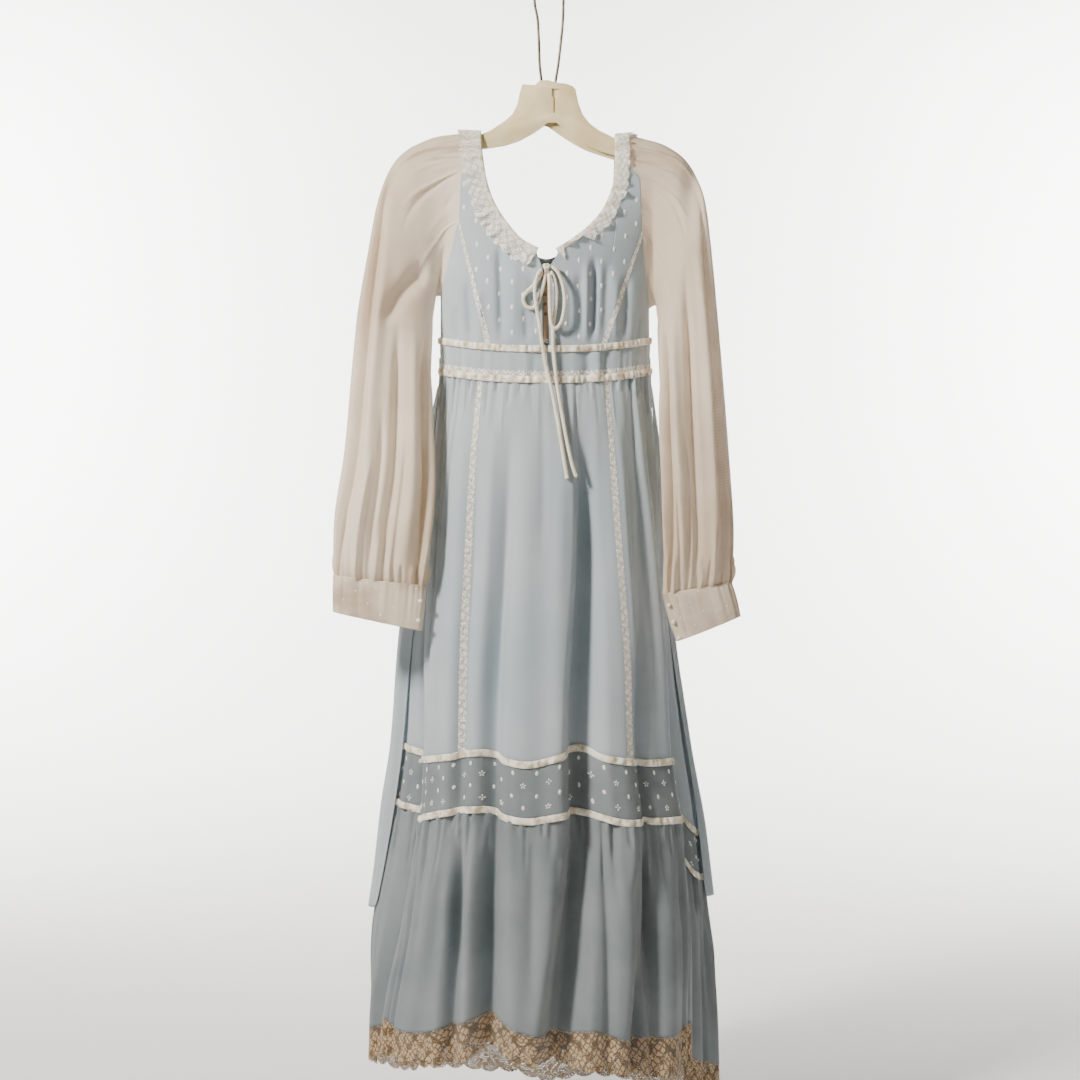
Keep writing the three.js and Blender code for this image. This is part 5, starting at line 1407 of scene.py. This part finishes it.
# creases of each sleeve: share round (0 outer edge, 0.5 inner edge, front between) and down, bow,
# half width, depth
SLEEVE_CREASES = {
    "left": ((0.36, 0.08, 0.17, 0.44, 0.01, 0.022, -13), (0.09, 0.1, 0.09, 1.05, 0.01, 0.036, -15),
             (0.18, 0.22, 0.17, 1.05, -0.008, 0.03, 9), (0.265, 0.34, 0.25, 1.05, 0.012, 0.02, -13),
             (0.335, 0.28, 0.33, 1.05, 0.008, 0.026, 8), (0.405, 0.24, 0.4, 1.05, 0.006, 0.018, -13),
             (0.46, 0.3, 0.46, 1.0, 0, 0.02, 5), (0.02, 0.3, 0.02, 1.0, 0, 0.02, 4),
             (0.215, 0.58, 0.21, 1.05, 0.004, 0.01, -6), (0.31, 0.62, 0.295, 1.05, 0, 0.01, -6),
             (0.58, 0.2, 0.6, 1.0, 0.01, 0.024, -12), (0.68, 0.3, 0.67, 1.0, 0.01, 0.028, 8),
             (0.78, 0.2, 0.77, 1.0, -0.01, 0.024, -13), (0.88, 0.3, 0.89, 1.0, 0.01, 0.026, 7)),
    "right": ((0.09, 0.12, 0.12, 1.05, 0.01, 0.02, -12), (0.17, 0.2, 0.19, 1.05, -0.01, 0.028, 9),
              (0.245, 0.2, 0.26, 1.05, 0.012, 0.02, -13), (0.33, 0.2, 0.33, 1.05, 0.008, 0.026, 8),
              (0.4, 0.12, 0.41, 1.05, 0.004, 0.018, -14), (0.46, 0.3, 0.46, 1.0, 0, 0.018, 5),
              (0.15, 0.52, 0.155, 1.05, 0, 0.01, -6), (0.3, 0.56, 0.3, 1.05, 0, 0.01, -6),
              (0.58, 0.2, 0.6, 1.0, 0.01, 0.024, -12), (0.69, 0.3, 0.68, 1.0, 0.01, 0.028, 8),
              (0.78, 0.2, 0.8, 1.0, -0.01, 0.024, -13), (0.88, 0.3, 0.9, 1.0, 0.01, 0.026, 7)),
}
HEAD_GATHERS = gathers(82, 42, 0.0, (0.05, 0.2), 0.0075, 4.2, 0.6)


def armhole(hand, side):
    """Half of the first ring, from the shoulder over the front (-1) or back (1) to the underarm."""
    r = RAGLAN[hand]
    neck_x = NECK[hand][-1][0] + SIGN[hand] * BINDING
    top = float(look(SHOULDER, "x", "z", neck_x))
    edge = neck_at(hand, np.array([0.97, 0.93, RAGLAN_SHARE]), np.full(3, BINDING))
    corner = tuple(edge[2])
    chain = [(neck_x, top), (edge[0, 0], top - 2), (edge[1, 0], min(edge[1, 1], top - 6)), corner,
             mid(corner, r["bend"], 0.33), mid(corner, r["bend"], 0.67), r["bend"],
             mid(r["bend"], r["top"], 0.5), r["top"], r["low"],
             *[mid(r["low"], r["arm"], t) for t in (0.2, 0.4, 0.6, 0.8, 1)]]
    xz = np.array(chain, float)
    points = upper_grid(xz[:, 0], xz[:, 1], side, False)[0]
    points[0] = (neck_x, 0, top)
    return points


def around(count=ROUND):
    c = np.arange(count)
    half = count // 2
    step = np.where(c <= half, c, count - c)
    return np.where(c <= half, -1, 1), step, np.pi * step / half


def ring_at(row, a, side, blunt):
    share = (1 - np.cos(a)) / 2
    x, z = lerp(row[0], row[2], share), lerp(row[1], row[3], share)
    return np.stack([x, -row[5] + side * row[4] * np.clip(np.sin(a), 0, 1) ** blunt, z], -1)


def sleeve_rings(hand):
    side, step, a = around()
    holes = {s: armhole(hand, s) for s in (-1, 1)}
    hole = np.where((side < 0)[:, None], holes[-1][step], holes[1][step])
    base = lerp(hole[0], hole[14], ((1 - np.cos(a)) / 2)[:, None])
    rings = [hole]
    for i, row in enumerate(SLEEVES[hand]):
        p = ring_at(row, a, side, 0.5 if i > 8 else 0.65)
        if row[6] > 0:
            p[:, [0, 2]] += (hole - base)[:, [0, 2]] * row[6]
            p[:, 1] += row[5] * (1 - smooth(0, 90, row[1] - p[:, 2]))
            near = (1 - smooth(132, 175, np.abs(p[:, 0]))) * (1 - smooth(-400, -455, p[:, 2]))
            p[:, 1] = lerp(p[:, 1], side * upper_depth(p[:, 0], p[:, 2]), near)
        rings.append(p)
    return np.stack(rings)


def finer(rings, down, across, early=1.0):
    """A closed grid of rings made finer both ways on a smooth curve."""
    wrapped = np.concatenate([rings[:, -2:], rings, rings[:, :3]], 1)
    at = 2 + np.arange(across) / across * rings.shape[1]
    wide = spline(wrapped.transpose(1, 0, 2), at).transpose(1, 0, 2)
    return spline(wide, np.linspace(0, 1, down) ** early * (len(rings) - 1))


def sleeve(hand, across=264, down=170):
    points = finer(sleeve_rings(hand), down, across)
    side = -1 if hand == "right" else 1
    normals = grid_normals(points, True) * side
    run = chain_run(points.mean(1))
    u, t = np.meshgrid(np.arange(across) / across, run / run[-1])
    wrist_gathers = gathers(84 + len(hand), 30, 1.0, (0.05, 0.34), 0.008, 5.0, 0.5)
    wrist_gathers[:, [1, 3]] = 2.0 - wrist_gathers[:, [1, 3]]
    head = creases(HEAD_GATHERS, u, t, 1.0) * np.cos(np.pi * u) ** 2 * smooth(0.0, 0.03, t)
    wrist = creases(wrist_gathers, u, t, 1.0) * (1 - 0.5 * smooth(0.98, 1, t))
    long = creases(SLEEVE_CREASES[hand], u, t, 1.0) * smooth(0.04, 0.2, t)
    points = points + normals * (head + wrist + long)[..., None]
    if hand == "right":
        points = points[:, ::-1]
    # the sleeves' warmed ivory is partly painted shade
    cloth("sleeve_" + hand, points, ivory_voile_painted_shade, "sheer_voile", thick=0, closed=True, held="gathered")


sleeve("left")
sleeve("right")

# %% [markdown]
# ## Cuffs
# The cuffs are ivory satin over a stiff lining, worked with the same dots and flowers. They button at
# the inner edge: two pearls show on the left and three on the right.

# %% Cuffs
BUTTONS = {"left": (0.35, 0.75), "right": (0.28, 0.6, 0.92)}
BUTTON_RADIUS = 3.4
CUFF_THICK = 2.2


def cuff(hand, across=180, down=24):
    side, _, a = around()
    rings = np.stack([ring_at(row, a, side, 0.5) for row in CUFFS[hand]])
    points = finer(rings, down, across)
    flip = hand == "right"
    if flip:
        points = points[:, ::-1]
    normals = grid_normals(points, True)
    u, t = np.meshgrid(np.arange(across) / across, np.linspace(0, 1, down))
    relief = 0.5 * wobble(u, 91 + len(hand), 9, 20) * (1 - 0.4 * t) + 0.35 * wobble(u, 95, 20, 40) * (1 - t)
    points = points + normals * relief[..., None]
    stitches = embroider_grid("cuff_" + hand, points, "embroidered_cuff", (14.0, 26.0), 5.0, 12)
    # the cuffs' darker satin is partly painted shade
    cloth("cuff_" + hand, points, cuff_satin_painted_shade, "embroidered_cuff", thick=CUFF_THICK, closed=True,
          held="stretched", extras=[stitches], rests="sleeve_" + hand)
    # buttons sit on the front, a little in from the inner edge
    column = 0.5 + (2 if flip else -2) / ROUND
    for i, share in enumerate(BUTTONS[hand]):
        r, c = int(share * (down - 1)), int(column * across)
        at = (points[r, c] + normals[r, c] * (CUFF_THICK / 2 + BUTTON_RADIUS * 0.85)) * MM
        bpy.ops.mesh.primitive_uv_sphere_add(segments=24, ring_count=14, radius=BUTTON_RADIUS * MM,
                                             location=at)
        finish_primitive(f"pearl_{hand}_{i + 1}", glass_pearl, "pearl", f"cuff_button_{hand}_{i + 1}")


cuff("left")
cuff("right")

# %% [markdown]
# ## Back ties
# Two long ties are sewn into the waist seam at the sides and hang untied behind. Each is a flat
# double strip, creased along its length, with a rounded end.

# %% Back ties
TIES = {
    "left": table(
        "z near far off", (-546, 0.994, 0.965, 2.3), (-562, 0.993, 0.963, 3.4), (-600, 0.99, 0.96, 5.6),
        (-700, 0.985, 0.945, 9), (-850, 0.975, 0.925, 12), (-980, 0.962, 0.91, 15),
        (-1120, 0.952, 0.9, 17), (-1240, 0.95, 0.9, 15), (-1362, 0.947, 0.902, 9)),
    "right": table(
        "z near far off", (-546, 0.506, 0.535, 2.3), (-562, 0.507, 0.537, 3.4), (-600, 0.51, 0.54, 5.6),
        (-700, 0.515, 0.555, 8), (-850, 0.525, 0.575, 9), (-980, 0.538, 0.59, 9),
        (-1120, 0.548, 0.6, 8), (-1240, 0.55, 0.6, 13), (-1346, 0.553, 0.598, 15)),
}


def back_tie(hand, across=26, down=150):
    rows = TIES[hand]
    z = np.linspace(rows["z"][0], rows["z"][-1], down)[:, None]
    s = np.linspace(0, 1, across)[None]
    end = smooth(0.982, 1.0, np.linspace(0, 1, down))[:, None]
    share = 0.5 + (s - 0.5) * np.sqrt(1 - 0.5 * end**2)
    u = lerp(look(rows, "z", "near", z), look(rows, "z", "far", z), share)
    points, n = facing(u, z + 0 * u)
    t = (rows["z"][0] - z) / (rows["z"][0] - rows["z"][-1])
    crease = creases([(0.5, 0.0, 0.42, 0.9, 0.06, 0.12, -2.6), (0.22, 0.1, 0.3, 0.8, 0.04, 0.1, 1.6),
                      (0.78, 0.05, 0.7, 1.1, -0.04, 0.1, 1.8)], s + 0 * t, t + 0 * s)
    # the edge next to the front lies close on the dress, the other stands off it
    off = lerp(2.4, look(rows, "z", "off", z), smooth(0, 0.5, s)) + crease * smooth(0, 0.1, t)
    points = points + n * off[..., None]
    if hand == "left":
        points = points[:, ::-1]
    cloth("back_tie_" + hand, points, blue_voile, "blue_voile", thick=1.1, held="hung", rests="midriff_back")


back_tie("left")
back_tie("right")

# %% [markdown]
# ## Placket
# Behind the slit lies a narrow underlap with small dark worked eyelets, and a few stay stitches
# close the slit's foot. The underlap partly stands for the dark inside of the dress seen through the
# slit: its taupe is partly a facing's own colour and partly painted shade.

# %% Placket


def placket():
    middle = (SLIT["left"] + SLIT["right"]) / 2
    x, z = np.meshgrid(np.linspace(middle - 8, middle + 8, 9), np.linspace(-421, -524, 40))
    points, normals = upper_grid(x, z, -1, False)
    # the underlap partly stands for the shaded inside of the slit: its taupe is partly painted shade
    cloth("placket_underlap", points - normals * 2.2, underlap_cotton_painted_shade, "underlap", thick=0.8,
          held="stretched")
    for i, height in enumerate((-442, -456, -470, -484)):
        at, n = upper_grid(np.array(-6.5 + 0.4 * i), np.array(float(height)), -1, False)
        bpy.ops.mesh.primitive_torus_add(
            major_radius=1.7 * MM, minor_radius=0.55 * MM, major_segments=18, minor_segments=8,
            location=(at - n * 1.6) * MM, rotation=(np.pi / 2, 0, 0))
        finish_primitive(f"eyelet_{i + 1}", dark_thread, "underlap")
    ends = np.array([(-5.5, -520), (-0.8, -521), (-5.2, -524), (-1.2, -524.5)], float)
    for i, (x0, z0) in enumerate(ends):
        x1, z1 = x0 + (4.2 if i % 2 == 0 else -4.0), z0 - 1.2
        at, n = upper_grid(np.linspace(x0, x1, 5), np.linspace(z0, z1, 5), -1, False)
        tube(f"stay_stitch_{i + 1}", at + n * (0.9 + 0.6 * np.sin(np.linspace(0, np.pi, 5)))[:, None],
             1.1, white_thread, "underlap", sides=8, every=0.8)


placket()

# %% [markdown]
# ## Hanger
# The moulded body has a back and a front plate with a recessed channel between them, a boss with a
# square window, and a wire with two legs that closes in a loop. The body's mesh is a copy of the
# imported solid: its coplanar faces are merged and its edges rounded, as a mould leaves them.

# %% Hanger


def hanger_body():
    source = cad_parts["hanger_body"]
    obj = bpy.data.objects.new("moulded_hanger", source.data.copy())
    bpy.context.collection.objects.link(obj)
    shape = bmesh.new()
    shape.from_mesh(obj.data)
    bmesh.ops.remove_doubles(shape, verts=shape.verts, dist=0.01 * MM)
    bmesh.ops.dissolve_limit(shape, angle_limit=0.02, verts=shape.verts, edges=shape.edges)
    shape.to_mesh(obj.data)
    shape.free()
    apply_modifier(obj, "BEVEL", width=0.7 * MM, segments=2, limit_method="ANGLE", angle_limit=0.5)
    finish_piece(obj, cream_plastic, "hanger_plastic", "hanger_body")
    only(obj)
    bpy.ops.object.shade_smooth_by_angle(angle=0.6)
    print("hanger faces", len(obj.data.polygons))


hanger_body()
WIRE_PATH = np.array([
    (-10.7, -156), (-10.7, -143), (-13.5, -118), (-14.7, -84), (-16.5, -52), (-20.5, -30), (-20.2, -14),
    (-11.5, -1.5), (0, 2), (11.5, -1.5), (20.2, -14), (21, -32), (20, -58), (17.5, -84), (13.5, -118),
    (9.6, -143), (9.6, -156)], float)
wire_route = np.stack([WIRE_PATH[:, 0], 0 * WIRE_PATH[:, 0], WIRE_PATH[:, 1]], -1)
tube("wire_loop", wire_route, 4.0, dark_steel, "hanger_wire", sides=16, every=2.0, node="hanger_wire_loop")

# %% [markdown]
# ## Backdrop and light
# A pale floor sweeps up into a wall far behind the dress, so no edge shows. Both have lamps of their own
# and stand far off, so that they don't fill the folds with light. One soft lamp from the upper left,
# close in front, models the folds, as in the photo. A weak one from the right, one behind and a dim
# world open the shadows. The world is bright only where the camera looks straight at it.

# %% Backdrop and light


def sweep():
    m = blank("pale backdrop")
    paper = put(m, "ShaderNodeBsdfPrincipled", {"Base Color": rgb("#f6f5f3"), "Roughness": 0.95})
    output(m, paper.outputs[0])
    turn = np.linspace(0, np.pi / 2, 17)
    floor, wall, radius, half = -1720.0, 5600.0, 2400.0, 3300.0
    curve = [(-1500.0, floor)] + [
        (wall - radius + radius * np.sin(a), floor + radius - radius * np.cos(a)) for a in turn
    ] + [(wall, 2200.0)]
    points = np.array([[(x, y, z) for x in (-half, half)] for y, z in reversed(curve)])
    obj = grid_mesh("backdrop", points)
    coat(obj, m)


def studio_world(seen, felt):
    """A world that the camera sees at one strength and that lights the dress at another."""
    world = bpy.data.worlds.new("studio")
    bpy.context.scene.world = world
    world.use_nodes = True
    world.node_tree.nodes.clear()
    path = put(world, "ShaderNodeLightPath")
    tint = rgb("#f1ebe2")
    shades = [put(world, "ShaderNodeBackground", {"Color": tint, "Strength": s}) for s in (felt, seen)]
    mix = put(world, "ShaderNodeMixShader",
              links={"Fac": path.outputs["Is Camera Ray"], 1: shades[0].outputs[0], 2: shades[1].outputs[0]})
    put(world, "ShaderNodeOutputWorld", links={"Surface": mix.outputs[0]})


def soft_light(name, at, aim, size, watts, colour):
    data = bpy.data.lights.new(name, "AREA")
    data.shape = "DISK"
    data.size = size
    data.energy = watts
    data.color = rgb(colour)[:3]
    light = bpy.data.objects.new(name, data)
    light.location = at
    way = Vector(aim) - Vector(at)
    light.rotation_euler = way.to_track_quat("-Z", "Y").to_euler()
    bpy.context.collection.objects.link(light)


sweep()
soft_light("key", (-1.5, -1.3, 0.5), (0, 0, -0.8), 0.4, 104, "#fff6ea")
soft_light("fill", (1.6, -1.4, 0.5), (0.3, 0, -0.4), 0.9, 10, "#fbeedd")
soft_light("back", (1.4, 1.6, 0.6), (0, 0, -0.7), 0.9, 12, "#fff9f0")
for side in (-1, 1):
    soft_light("wall_wash", (2.8 * side, 3.6, 0.5), (1.3 * side, 5.6, -0.6), 1.2, 400, "#ffffff")
    soft_light("floor_wash", (2.0 * side, 1.8, -0.2), (1.0 * side, 3.4, -1.72), 0.8, 90, "#ffffff")
studio_world(0.9, 0.13)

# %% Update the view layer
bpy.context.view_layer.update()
